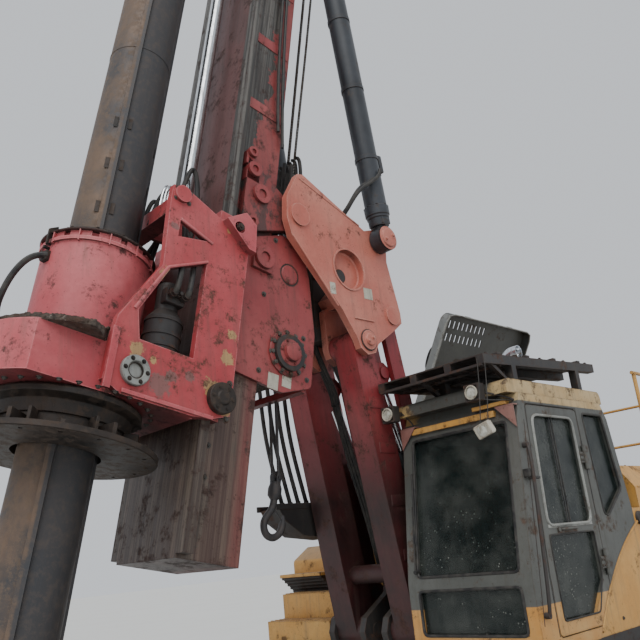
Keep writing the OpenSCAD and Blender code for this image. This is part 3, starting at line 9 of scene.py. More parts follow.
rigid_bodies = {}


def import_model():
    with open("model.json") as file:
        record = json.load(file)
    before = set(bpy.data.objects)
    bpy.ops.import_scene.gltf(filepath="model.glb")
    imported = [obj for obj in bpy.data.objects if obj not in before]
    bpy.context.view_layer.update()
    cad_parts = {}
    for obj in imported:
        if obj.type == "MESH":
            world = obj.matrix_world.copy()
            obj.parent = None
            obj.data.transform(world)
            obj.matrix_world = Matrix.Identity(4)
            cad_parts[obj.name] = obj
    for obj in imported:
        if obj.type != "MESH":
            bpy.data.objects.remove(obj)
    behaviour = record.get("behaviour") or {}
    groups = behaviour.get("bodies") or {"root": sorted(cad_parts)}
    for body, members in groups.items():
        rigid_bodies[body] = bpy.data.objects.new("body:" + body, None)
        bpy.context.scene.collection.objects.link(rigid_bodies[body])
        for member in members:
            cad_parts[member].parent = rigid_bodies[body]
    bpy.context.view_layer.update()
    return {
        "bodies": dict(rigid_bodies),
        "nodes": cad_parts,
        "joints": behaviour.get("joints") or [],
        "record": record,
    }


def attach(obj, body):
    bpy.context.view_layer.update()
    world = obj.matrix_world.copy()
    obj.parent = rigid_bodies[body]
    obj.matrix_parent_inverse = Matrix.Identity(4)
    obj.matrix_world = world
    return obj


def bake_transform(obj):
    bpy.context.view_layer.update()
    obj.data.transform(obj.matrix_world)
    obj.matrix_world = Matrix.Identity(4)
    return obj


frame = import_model()
node = frame["nodes"]
joint = {j["name"]: j for j in frame["joints"]}

# Frames of the machine, all in metres
slew_x = joint["slew"]["pos_m"][0]
mast_pivot = Vector(joint["mast_tilt"]["pos_m"])
mast_up = Vector(joint["crowd"]["axis"])
mast_fore = Vector((mast_up.z, 0, -mast_up.x))
on_mast = Matrix((
    (mast_fore.x, 0, mast_up.x, mast_pivot.x),
    (0, 1, 0, 0),
    (mast_fore.z, 0, mast_up.z, mast_pivot.z),
    (0, 0, 0, 1)))
on_slew = Matrix.Translation((slew_x, 0, 0))


# Camera, fitted to the photograph's cab, mast and linkage

camera_from_slew = Vector((6.088, 4.141, 2.15))
camera_yaw = math.radians(44.83)
camera_pitch = math.radians(17.65)
camera_roll = math.radians(-5.87)
camera_focal_px = 736.4
frame_px = 640
sensor_mm = 36


def add_camera():
    ahead = Vector((-math.cos(camera_yaw) * math.cos(camera_pitch),
                    -math.sin(camera_yaw) * math.cos(camera_pitch), math.sin(camera_pitch)))
    right = ahead.cross(Vector((0, 0, 1))).normalized()
    above = right.cross(ahead)
    turned_right = right * math.cos(camera_roll) + above * math.sin(camera_roll)
    turned_above = above * math.cos(camera_roll) - right * math.sin(camera_roll)
    data = bpy.data.cameras.new("camera")
    data.sensor_width = sensor_mm
    data.lens = camera_focal_px / frame_px * sensor_mm
    data.clip_end = 300
    camera = bpy.data.objects.new("camera", data)
    place = Matrix((turned_right, turned_above, -ahead)).transposed().to_4x4()
    place.translation = camera_from_slew + Vector((slew_x, 0, 0))
    camera.matrix_world = place
    bpy.context.scene.collection.objects.link(camera)
    bpy.context.scene.camera = camera


# Materials

class Shade:
    """A material's node tree, with short calls for the nodes that the finishes share."""

    def __init__(self, name):
        self.material = bpy.data.materials.new(name)
        self.material.use_nodes = True
        self.tree = self.material.node_tree
        self.shader = self.tree.nodes["Principled BSDF"]
        self.place = self.tree.nodes.new("ShaderNodeTexCoord").outputs["Object"]

    def node(self, kind, **inputs):
        made = self.tree.nodes.new(kind)
        for key, value in inputs.items():
            self.feed(made.inputs[key.replace("_", " ")], value)
        return made

    def feed(self, socket, value):
        if isinstance(value, bpy.types.NodeSocket):
            self.tree.links.new(value, socket)
        else:
            socket.default_value = value

    def look(self, **inputs):
        """Sets the shader's own sockets and gives the finished material."""
        for key, value in inputs.items():
            self.feed(self.shader.inputs[key.replace("_", " ")], value)
        return self.material

    def stretched(self, scale, turn=(0, 0, 0)):
        """Object coordinates turned by a frame's angles, then multiplied by the scale on each of its axes."""
        made = self.node("ShaderNodeMapping", Vector=self.place, Rotation=turn)
        made.vector_type = "TEXTURE"
        made.inputs["Scale"].default_value = [1 / s for s in scale]
        return made.outputs["Vector"]

    def measured(self, kind, a, b):
        """The one number of a vector sum: a dot product or a distance."""
        made = self.tree.nodes.new("ShaderNodeVectorMath")
        made.operation = kind
        self.feed(made.inputs[0], a)
        self.feed(made.inputs[1], b)
        return made.outputs["Value"]

    def along(self, axis, origin=(0, 0, 0)):
        """How far a point lies along the axis from the origin, in metres."""
        return self.math("SUBTRACT", self.measured("DOT_PRODUCT", self.place, axis), Vector(axis).dot(Vector(origin)))

    def near(self, point, radius):
        """1 round the point and 0 beyond the radius, with a ragged rim."""
        gap = self.measured("DISTANCE", self.place, point)
        return self.ramp(self.times(gap, self.ramp(self.noise(26, 7, 0.75), 0.3, 0.7, 0.45, 1.9)),
                         radius, radius * 0.86)

    def noise(self, scale, detail, rough=0.6, place=None):
        return self.node("ShaderNodeTexNoise", Scale=scale, Detail=detail, Roughness=rough,
                         Vector=place or self.place).outputs["Fac"]

    def cells(self, scale):
        return self.node("ShaderNodeTexVoronoi", Scale=scale, Vector=self.place).outputs["Distance"]

    def ramp(self, value, low, high, start=0.0, end=1.0):
        made = self.node("ShaderNodeMapRange", Value=value)
        made.inputs["From Min"].default_value = low
        made.inputs["From Max"].default_value = high
        made.inputs["To Min"].default_value = start
        made.inputs["To Max"].default_value = end
        return made.outputs["Result"]

    def math(self, kind, a, b):
        made = self.tree.nodes.new("ShaderNodeMath")
        made.operation = kind
        made.use_clamp = kind == "ADD"
        self.feed(made.inputs[0], a)
        self.feed(made.inputs[1], b)
        return made.outputs[0]

    def times(self, a, b):
        return self.math("MULTIPLY", a, b)

    def mix(self, amount, a, b):
        made = self.tree.nodes.new("ShaderNodeMix")
        made.data_type = "RGBA"
        self.feed(made.inputs["Factor"], amount)
        self.feed(made.inputs["A"], a)
        self.feed(made.inputs["B"], b)
        return made.outputs["Result"]

    def edges(self, radius):
        """Near 1 on sharp outer edges, from the angle between the face and a rounded normal."""
        soft = self.node("ShaderNodeBevel", Radius=radius)
        soft.samples = 3
        hard = self.node("ShaderNodeNewGeometry")
        return self.ramp(self.measured("DOT_PRODUCT", soft.outputs["Normal"], hard.outputs["Normal"]), 0.97, 0.75)

    def facing(self, low, high):
        """0 to 1 as the face's upward lean goes from low to high; 1 looks straight up and -1 straight down."""
        faces = self.node("ShaderNodeSeparateXYZ", Vector=self.node("ShaderNodeNewGeometry").outputs["Normal"])
        return self.ramp(faces.outputs["Z"], low, high)

    def bump(self, height, strength, distance, over=None):
        made = self.node("ShaderNodeBump", Height=height, Strength=strength, Distance=distance)
        if over is not None:
            self.feed(made.inputs["Normal"], over)
        return made.outputs["Normal"]


def rgb(red, green, blue):
    """A colour given in sRGB from 0 to 255, as the linear colour that the shader takes."""
    return tuple(((c / 255) / 12.92) if c <= 10 else (((c / 255) + 0.055) / 1.055) ** 2.4
                 for c in (red, green, blue)) + (1,)


def dimmed(colour, by):
    return tuple(c * by for c in colour[:3]) + (1,)


# the dark colour of the painted shade on faces that look down
underside_shade_colour = rgb(38, 31, 30)


def worn_paint(name, colours, wear, dirt, gloss=0.45, zones=None, edge=None):
    """Old machine paint: bleached in clouds, run down with dirt, chipped to rust, and at its edges rubbed to rust,
    unless an edge colour is given, which paints a pale highlight there instead.
    """
    fresh, faded, bare, dust = (rgb(*colour) for colour in colours)
    s = Shade(name)
    clouds = s.ramp(s.noise(1.7, 5, 0.62), 0.35, 0.66)
    colour = s.mix(clouds, fresh, faded)
    mottle = s.ramp(s.noise(23, 8, 0.7), 0.3, 0.75, 0.0, 0.35)
    colour = s.mix(mottle, colour, dimmed(fresh, 0.62))
    if zones:
        colour = zones(s, colour)
    runs = s.ramp(s.noise(1, 7, 0.7, s.stretched((17, 17, 1.1))), 0.62 - 0.24 * dirt, 0.86)
    colour = s.mix(s.times(runs, 0.8), colour, dust)
    grit = s.ramp(s.noise(5.5, 12, 0.78), 0.6 - 0.12 * wear, 0.66 - 0.08 * wear)
    specks = s.ramp(s.noise(70, 4, 0.7), 0.66 - 0.05 * wear, 0.7 - 0.05 * wear)
    # the edge mask chips to rust as rubbed wear, and with an edge colour given it carries a painted highlight instead
    edge_wear_and_highlight = s.times(s.edges(0.012 if edge else 0.018), s.ramp(s.noise(14, 6, 0.7), 0.35, 0.6))
    chips = s.math("ADD", s.times(grit, 0.9), s.times(specks, 0.8))
    if edge:
        colour = s.mix(s.times(edge_wear_and_highlight, 0.8), colour, rgb(*edge))
    else:
        chips = s.math("ADD", chips, s.times(edge_wear_and_highlight, 0.9))
    rust = s.mix(s.ramp(s.noise(31, 6, 0.6), 0.35, 0.65), bare, dimmed(bare, 0.4))
    colour = s.mix(chips, colour, rust)
    # dust settles on faces that look up; faces that look down are darkened with a painted shade
    settled = s.times(s.facing(0.5, 0.95), s.ramp(s.noise(6, 6), 0.3, 0.7, 0.3, 0.85))
    underside_shade = s.times(s.facing(-0.45, -0.9), s.ramp(s.noise(4, 6), 0.25, 0.6, 0.35, 0.8))
    colour = s.mix(underside_shade, s.mix(settled, colour, dust), underside_shade_colour)
    skin = s.bump(s.noise(140, 3), 0.12, 0.001)
    return s.look(Base_Color=colour,
                  Roughness=s.ramp(s.math("ADD", chips, s.times(runs, 0.5)), 0, 1, gloss, 0.88),
                  Normal=s.bump(s.times(chips, -1.0), 0.5, 0.0012, skin))


def rusty_steel(name, dark, brown, pale, along=(0, 0, 0), painted_lit_sector=None):
    """Bare steel that has rusted and been rubbed: brown clouds, dark scale and long scrape marks."""
    dark, brown, pale = rgb(*dark), rgb(*brown), rgb(*pale)
    s = Shade(name)
    clouds = s.ramp(s.noise(2.3, 8, 0.7), 0.35, 0.62)
    marks = s.ramp(s.noise(18, 10, 0.75), 0.48, 0.62)
    # painted light: on the lit sector the brown clouds and pale marks keep full strength, and the side away from it
    # stays dark
    if painted_lit_sector:
        clouds = s.times(clouds, s.ramp(s.along(*painted_lit_sector), -0.004, 0.006, 0.12, 1.0))
        marks = s.times(marks, s.ramp(s.along(*painted_lit_sector), -0.004, 0.006, 0.3, 1.0))
    colour = s.mix(s.times(marks, 0.7), s.mix(clouds, dark, brown), pale)
    scrapes = s.ramp(s.noise(1, 9, 0.8, s.stretched((60, 60, 0.9), along)), 0.55, 0.72)
    return s.look(Base_Color=s.mix(s.times(scrapes, 0.55), colour, dimmed(dark, 1.5)), Metallic=0.35,
                  Roughness=s.ramp(marks, 0, 1, 0.55, 0.9), Normal=s.bump(s.math("ADD", marks, scrapes), 0.5, 0.0015))


def chrome_rod(name):
    s = Shade(name)
    haze = s.ramp(s.noise(1, 6, 0.7, s.stretched((50, 50, 2))), 0.4, 0.75)
    return s.look(Base_Color=s.mix(haze, rgb(225, 228, 232), rgb(150, 150, 148)), Metallic=1.0,
                  Roughness=s.ramp(haze, 0, 1, 0.12, 0.4))


def dusty_glass(name):
    s = Shade(name)
    low = s.ramp(s.along((0, 0, 1)), 2.55, 1.95, 0.15, 1.0)
    dust = s.ramp(s.noise(3, 9, 0.72), 0.4, 0.8)
    specks = s.times(s.ramp(s.cells(34), 0.2, 0.12), s.ramp(s.noise(7, 4), 0.5, 0.6))
    amount = s.math("ADD", s.times(dust, 0.35), s.times(s.times(specks, low), 0.75))
    return s.look(Base_Color=s.mix(amount, rgb(28, 37, 36), rgb(140, 142, 134)),
                  Roughness=s.ramp(amount, 0, 1, 0.2, 0.65), Alpha=s.ramp(amount, 0, 1, 0.72, 0.96),
                  Specular_IOR_Level=0.32)


def cloth(name):
    s = Shade(name)
    weave = s.node("ShaderNodeTexWave", Scale=160.0, Distortion=1.5, Vector=s.place).outputs["Fac"]
    return s.look(Base_Color=s.mix(s.ramp(s.noise(9, 5), 0.3, 0.7), rgb(38, 38, 42), rgb(66, 64, 62)),
                  Roughness=0.9, Sheen_Weight=0.3, Normal=s.bump(weave, 0.3, 0.0008))


def rubber(name):
    s = Shade(name)
    dust = s.ramp(s.noise(14, 8, 0.7), 0.4, 0.75)
    return s.look(Base_Color=s.mix(dust, rgb(28, 28, 29), rgb(84, 80, 74)), Roughness=s.ramp(dust, 0, 1, 0.5, 0.85),
                  Normal=s.bump(s.noise(220, 3), 0.2, 0.0006))


def lamp_glass(name):
    s = Shade(name)
    flutes = s.ramp(s.node("ShaderNodeTexWave", Scale=38.0, Vector=s.place).outputs["Fac"], 0, 1)
    return s.look(Base_Color=s.mix(s.ramp(s.noise(30, 5), 0.4, 0.7), rgb(206, 206, 196), rgb(150, 144, 128)),
                  Roughness=0.18, Normal=s.bump(flutes, 0.5, 0.0015))


def dry_soil(name):
    s = Shade(name)
    lumps = s.ramp(s.noise(34, 9, 0.75), 0.35, 0.66)
    pebbles = s.ramp(s.cells(60), 0.1, 0.5)
    colour = s.mix(lumps, rgb(44, 38, 35), rgb(100, 88, 78))
    colour = s.mix(s.times(s.ramp(s.noise(19, 6, 0.8), 0.6, 0.66), 0.7), colour, rgb(168, 160, 150))
    return s.look(Base_Color=s.mix(s.ramp(s.noise(9, 5), 0.45, 0.7), colour, rgb(76, 52, 40)), Roughness=0.95,
                  Normal=s.bump(s.math("ADD", lumps, s.times(pebbles, 0.4)), 0.9, 0.006))


def wire_rope(name):
    """Greasy wire rope: strands that slant across its length."""
    s = Shade(name)
    wave = s.node("ShaderNodeTexWave", Scale=26.0, Distortion=0.4, Vector=s.place)
    wave.bands_direction = "DIAGONAL"
    strands = wave.outputs["Fac"]
    dirt = s.ramp(s.noise(5, 6), 0.35, 0.65)
    colour = s.mix(strands, rgb(30, 29, 28), rgb(96, 94, 90))
    return s.look(Base_Color=s.mix(s.times(dirt, 0.6), colour, rgb(74, 58, 44)), Metallic=0.4,
                  Roughness=s.ramp(dirt, 0, 1, 0.4, 0.8), Normal=s.bump(strands, 0.8, 0.002))


# Where the paint and the rust change on one piece

kelly_u = 1.28
kelly_rib_turn = math.radians(60)
plate_out = 0.48
on_mast_turn = (0, -math.atan2(-mast_up.x, mast_up.z), 0)
kelly_foot = on_mast @ Vector((kelly_u, 0, 0))
# the side of the kelly that takes painted light
kelly_lit_side = on_mast.to_3x3() @ Vector((math.sin(kelly_rib_turn), -math.cos(kelly_rib_turn), 0))
ochre = rgb(178, 142, 96)


def mast_zones(s, colour):
    """Dark worn sides, patches peeled to primer and a lower end that turns dark brown."""
    peeled = s.ramp(s.noise(1.7, 10, 0.74, s.stretched((1.7, 1.7, 0.8), on_mast_turn)), 0.535, 0.56)
    colour = s.mix(s.times(peeled, 0.82), colour, rgb(66, 50, 47))
    streaks = s.ramp(s.noise(1, 8, 0.75, s.stretched((26, 26, 0.35), on_mast_turn)), 0.46, 0.6)
    rail = s.mix(streaks, rgb(50, 48, 45), rgb(112, 108, 102))
    fore = s.along(mast_fore, mast_pivot)
    beside = s.ramp(s.math("ABSOLUTE", s.along((0, 1, 0)), 0.0), 0.336, 0.34)
    height = s.along(mast_up, mast_pivot)
    # the dark side paint is a strip low down and takes the whole side higher up, with a ragged edge
    ragged = s.math("ADD", s.ramp(height, 0.0, 3.2, 0.46, 0.1), s.ramp(s.noise(3.2, 8, 0.7), 0.3, 0.7, -0.1, 0.1))
    strip = s.ramp(s.math("SUBTRACT", fore, ragged), -0.006, 0.006)
    front = s.mix(s.times(streaks, 0.5), rgb(88, 52, 49), rgb(58, 42, 40))
    colour = s.mix(s.times(s.ramp(fore, 0.586, 0.592), 0.88), colour, front)
    colour = s.mix(s.times(beside, strip), colour, rail)
    lower_end_dark = s.times(s.ramp(height, -0.4, -1.4), s.ramp(fore, 0.2, 0.26, 0.5, 0.92))
    return s.mix(lower_end_dark, colour, s.mix(streaks, rgb(68, 56, 49), rgb(104, 90, 78)))


def drive_zones(s, colour):
    """Places on the drive where the paint has peeled to the ochre primer or worn to bare grey."""
    for u, w, radius in ((1.135, -1.505, 0.058), (1.02, -1.539, 0.034), (0.486, -1.187, 0.045), (0.503, -1.356, 0.052),
                         (1.028, -0.968, 0.055), (0.612, -0.437, 0.026), (0.6, -1.58, 0.06), (0.47, -1.7, 0.05)):
        for side in (plate_out, -plate_out):
            colour = s.mix(s.near(on_mast @ Vector((u, side, w)), radius), colour, ochre)
    for u, w, radius in ((0.95, -1.67, 0.085), (0.88, -1.6, 0.05), (0.76, -1.56, 0.045), (1.02, -0.6, 0.035)):
        for side in (plate_out, -plate_out):
            colour = s.mix(s.times(s.near(on_mast @ Vector((u, side, w)), radius), 0.7), colour, rgb(112, 96, 90))
    return colour


def arm_zones(s, colour):
    """Arms that turn dark towards their feet."""
    low = s.ramp(s.along((0, 0, 1)), 3.35, 2.55)
    return s.mix(s.times(low, s.ramp(s.noise(2.2, 8, 0.7), 0.3, 0.6, 0.8, 0.98)), colour, rgb(36, 25, 25))


def cab_zones(s, colour):
    """Grey posts between a yellow roof cap and yellow feet."""
    patches = s.ramp(s.noise(4, 6), 0.35, 0.65)
    height = s.along((0, 0, 1))
    beside = s.math("ABSOLUTE", s.along((0, 1, 0), (0, 1.005, 0)), 0.0)
    ragged = s.math("SUBTRACT", beside, s.times(s.noise(5, 6), 0.3))
    cap = s.times(s.ramp(height, 3.032, 3.036), s.ramp(ragged, 0.2, 0.24))
    colour = s.mix(cap, colour, s.mix(patches, rgb(182, 150, 98), rgb(196, 172, 128)))
    return s.mix(s.ramp(height, 1.722, 1.716), colour, s.mix(patches, rgb(196, 140, 70), rgb(202, 158, 98)))


def hood_zones(s, colour):
    """A pale band along the hood's front edge."""
    return s.mix(s.ramp(s.along((1, 0, 0), (slew_x, 0, 0)), -0.395, -0.385), colour, rgb(122, 124, 122))


# Each paint: its fresh, faded, bare and dusty colours, then wear, dirt, gloss, zones and the colour of its painted edge
# highlight
paints = {
    "drum_red": (((186, 76, 82), (206, 112, 114), (84, 58, 52), (126, 92, 84)), 0.4, 0.4, 0.45, None, (220, 158, 156)),
    "carriage_red": (((176, 62, 66), (194, 92, 94), (96, 66, 54), (104, 74, 68)),
                     0.42, 0.45, 0.45, drive_zones, (222, 160, 160)),
    "winch_red": (((150, 58, 60), (170, 84, 82), (88, 60, 50), (90, 66, 60)), 0.5, 0.55),
    "bracket_red": (((192, 104, 88), (208, 134, 116), (104, 70, 58), (132, 98, 86)),
                    0.3, 0.35, 0.45, None, (222, 178, 164)),
    "faded_red": (((138, 92, 84), (158, 118, 108), (96, 70, 58), (112, 88, 78)), 0.5, 0.5),
    "mast_red": (((134, 54, 54), (158, 80, 76), (74, 52, 46), (74, 60, 56)), 0.6, 0.6, 0.45, mast_zones),
    "arm_red": (((146, 44, 50), (170, 76, 76), (84, 56, 46), (78, 58, 52)), 0.5, 0.65, 0.45, arm_zones),
    "old_yellow": (((206, 150, 70), (216, 170, 100), (110, 78, 50), (128, 112, 92)), 0.4, 0.45),
    "cab_grey": (((78, 80, 76), (98, 99, 94), (92, 72, 58), (72, 68, 60)), 0.4, 0.45, 0.45, cab_zones),
    "hood_grey": (((66, 69, 67), (84, 87, 84), (86, 70, 58), (72, 70, 64)), 0.35, 0.4, 0.45, hood_zones),
    "dark_steel": (((42, 41, 42), (60, 57, 55), (88, 62, 48), (84, 76, 68)), 0.6, 0.55, 0.55),
    "black_barrel": (((42, 45, 50), (66, 70, 76), (90, 78, 70), (80, 78, 76)), 0.3, 0.4, 0.4),
    "old_iron": (((74, 76, 74), (104, 106, 100), (88, 62, 46), (70, 64, 58)), 0.6, 0.5, 0.5),
    "pale_trim": (((142, 144, 140), (168, 170, 164), (96, 86, 74), (106, 100, 90)), 0.4, 0.4, 0.4),
    "bare_label": (((190, 184, 166), (208, 204, 190), (120, 96, 74), (112, 100, 84)), 0.55, 0.5, 0.4),
}
# Each steel: its dark, brown and pale colours, then the frame of its scrapes and the sector given painted light
steels = {
    "kelly_rust": ((63, 64, 67), (112, 92, 76), (128, 110, 95), on_mast_turn, (kelly_lit_side, kelly_foot)),
    "track_steel": ((58, 52, 47), (96, 78, 62), (140, 120, 98)),
    "sleeve_steel": ((34, 32, 31), (64, 54, 48), (90, 76, 66)),
    "engine_iron": ((60, 62, 62), (84, 82, 78), (100, 94, 86)),
}
finish = {name: worn_paint(name, *row) for name, row in paints.items()}
finish.update((name, rusty_steel(name, *row)) for name, row in steels.items())
finish.update((name, make(name)) for name, make in (
    ("rod_chrome", chrome_rod), ("cab_glass", dusty_glass), ("seat_cloth", cloth), ("hose_rubber", rubber),
    ("dry_soil", dry_soil), ("lamp_glass", lamp_glass), ("wire_rope", wire_rope)))

# The CAD's nodes by finish, and the slot listed for each finish

node_finish = {
    "drum_red": ["drive_gearbox"],
    "carriage_red": ["drive_frame", "kelly_guide"],
    "winch_red": ["winch_frame", "mast_head"],
    "bracket_red": ["mast_bracket"],
    "mast_red": ["mast_lower", "mast_middle", "mast_upper"],
    "arm_red": ["boom_arm", "link_rods"],
    "old_yellow": ["counterweight", "engine_bay", "service_door_left", "service_door_right", "fuel_tank", "handrails"],
    "cab_grey": ["cab_frame", "cab_door"],
    "hood_grey": ["engine_hood"],
    "old_iron": ["kelly_swivel", "main_front_sheave", "main_rear_sheave", "aux_front_sheave", "aux_rear_sheave"],
    "dark_steel": ["car_body", "track_frame_left", "track_frame_right", "platform", "roof_guard", "work_lamps",
                   "drive_motors", "main_drum", "aux_drum"],
    "black_barrel": ["mast_barrels", "luff_barrels", "crowd_barrel"],
    "kelly_rust": ["kelly_outer", "kelly_inner"],
    "track_steel": ["track_left", "track_right"],
    "sleeve_steel": ["drive_sleeve"],
    "engine_iron": ["engine_block"],
    "rod_chrome": ["mast_rods", "luff_rods", "crowd_rod", "exhaust"],
    "cab_glass": ["cab_glass", "door_glass"],
    "seat_cloth": ["cab_seat"],
}
slot_of = {
    "red_paint": ["drum_red", "mast_red", "winch_red", "bracket_red", "arm_red", "faded_red"],
    "rusty_steel": ["sleeve_steel", "dry_soil", "wire_rope", "kelly_rust"],
    "dark_paint": ["dark_steel", "black_barrel"],
    "grey_paint": ["pale_trim", "bare_label"],
    "engine_iron": ["old_iron"],
    "black_paint": ["hose_rubber"],
    "yellow_paint": ["old_yellow"],
    "rod_chrome": ["rod_chrome"],
    "cab_glass": ["lamp_glass"],
    "seat_cloth": ["seat_cloth"],
}
slot_of = {look: slot for slot, looks in slot_of.items() for look in looks}


def smooth_tree():
    """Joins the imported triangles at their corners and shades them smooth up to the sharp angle."""
    tree = bpy.data.node_groups.new("smooth_steel", "GeometryNodeTree")
    for way in ("INPUT", "OUTPUT"):
        tree.interface.new_socket("Geometry", in_out=way, socket_type="NodeSocketGeometry")
    start, end = tree.nodes.new("NodeGroupInput"), tree.nodes.new("NodeGroupOutput")
    join = tree.nodes.new("GeometryNodeMergeByDistance")
    join.inputs["Distance"].default_value = 1e-5
    faces, edges = tree.nodes.new("GeometryNodeSetShadeSmooth"), tree.nodes.new("GeometryNodeSetShadeSmooth")
    edges.domain = "EDGE"
    edges.inputs["Shade Smooth"].default_value = False
    angle, sharp = tree.nodes.new("GeometryNodeInputMeshEdgeAngle"), tree.nodes.new("ShaderNodeMath")
    sharp.operation = "GREATER_THAN"
    sharp.inputs[1].default_value = math.radians(32)
    for a, b in ((start.outputs[0], join.inputs["Geometry"]), (join.outputs["Geometry"], faces.inputs["Geometry"]),
                 (faces.outputs["Geometry"], edges.inputs["Geometry"]), (edges.outputs["Geometry"], end.inputs[0]),
                 (angle.outputs["Unsigned Angle"], sharp.inputs[0]), (sharp.outputs[0], edges.inputs["Selection"])):
        tree.links.new(a, b)
    return tree


def dress(name, chosen, smooth):
    mesh = node[name].data
    mesh.materials.clear()
    mesh.materials.append(finish[chosen])
    node[name].modifiers.new("smooth", "NODES").node_group = smooth


def lie(a, b):
    """The matrix that lays local +Z from a to b, with its origin halfway."""
    a, b = Vector(a), Vector(b)
    return Matrix.Translation((a + b) / 2) @ (b - a).to_track_quat("Z", "Y").to_matrix().to_4x4()


def stand(foot, head):
    """The matrix that lays local +Z from the foot to the head, with its origin on the foot."""
    lain = lie(foot, head)
    return Matrix.Translation(foot - lain.translation) @ lain


def outward(u, y, w):
    """A place on a side face in a local frame: local +Z looks out to the side that y is on."""
    return Matrix.Translation((u, y, w)) @ Matrix.Rotation(math.copysign(math.pi / 2, -y), 4, "X")


def turned(place, angle, axis="Z"):
    return place @ Matrix.Rotation(angle, 4, axis)


def shift(x, y, z):
    return Matrix.Translation((x, y, z))


def lift(z):
    return shift(0, 0, z)


def spaced(start, step, count):
    return [start + k * step for k in range(count)]


# Turns that send local +Z down, to the front, or lay a plate's x and y on the machine's y and z
flip = Matrix.Rotation(math.pi, 4, "X")
face_fore = Matrix.Rotation(math.pi / 2, 4, "Y")
stand_fore = Matrix.Rotation(math.pi / 2, 4, "Z") @ Matrix.Rotation(math.pi / 2, 4, "X")


def softened(points, radius):
    """The closed outline with each corner drawn as a short curve."""
    out = []
    for k, point in enumerate(points):
        corner = Vector(point)
        before = (Vector(points[k - 1]) - corner).normalized() * radius
        after = (Vector(points[(k + 1) % len(points)]) - corner).normalized() * radius
        out += [corner + before * (1 - t) ** 2 + after * t ** 2 for t in (0, 0.25, 0.5, 0.75, 1)]
    return out


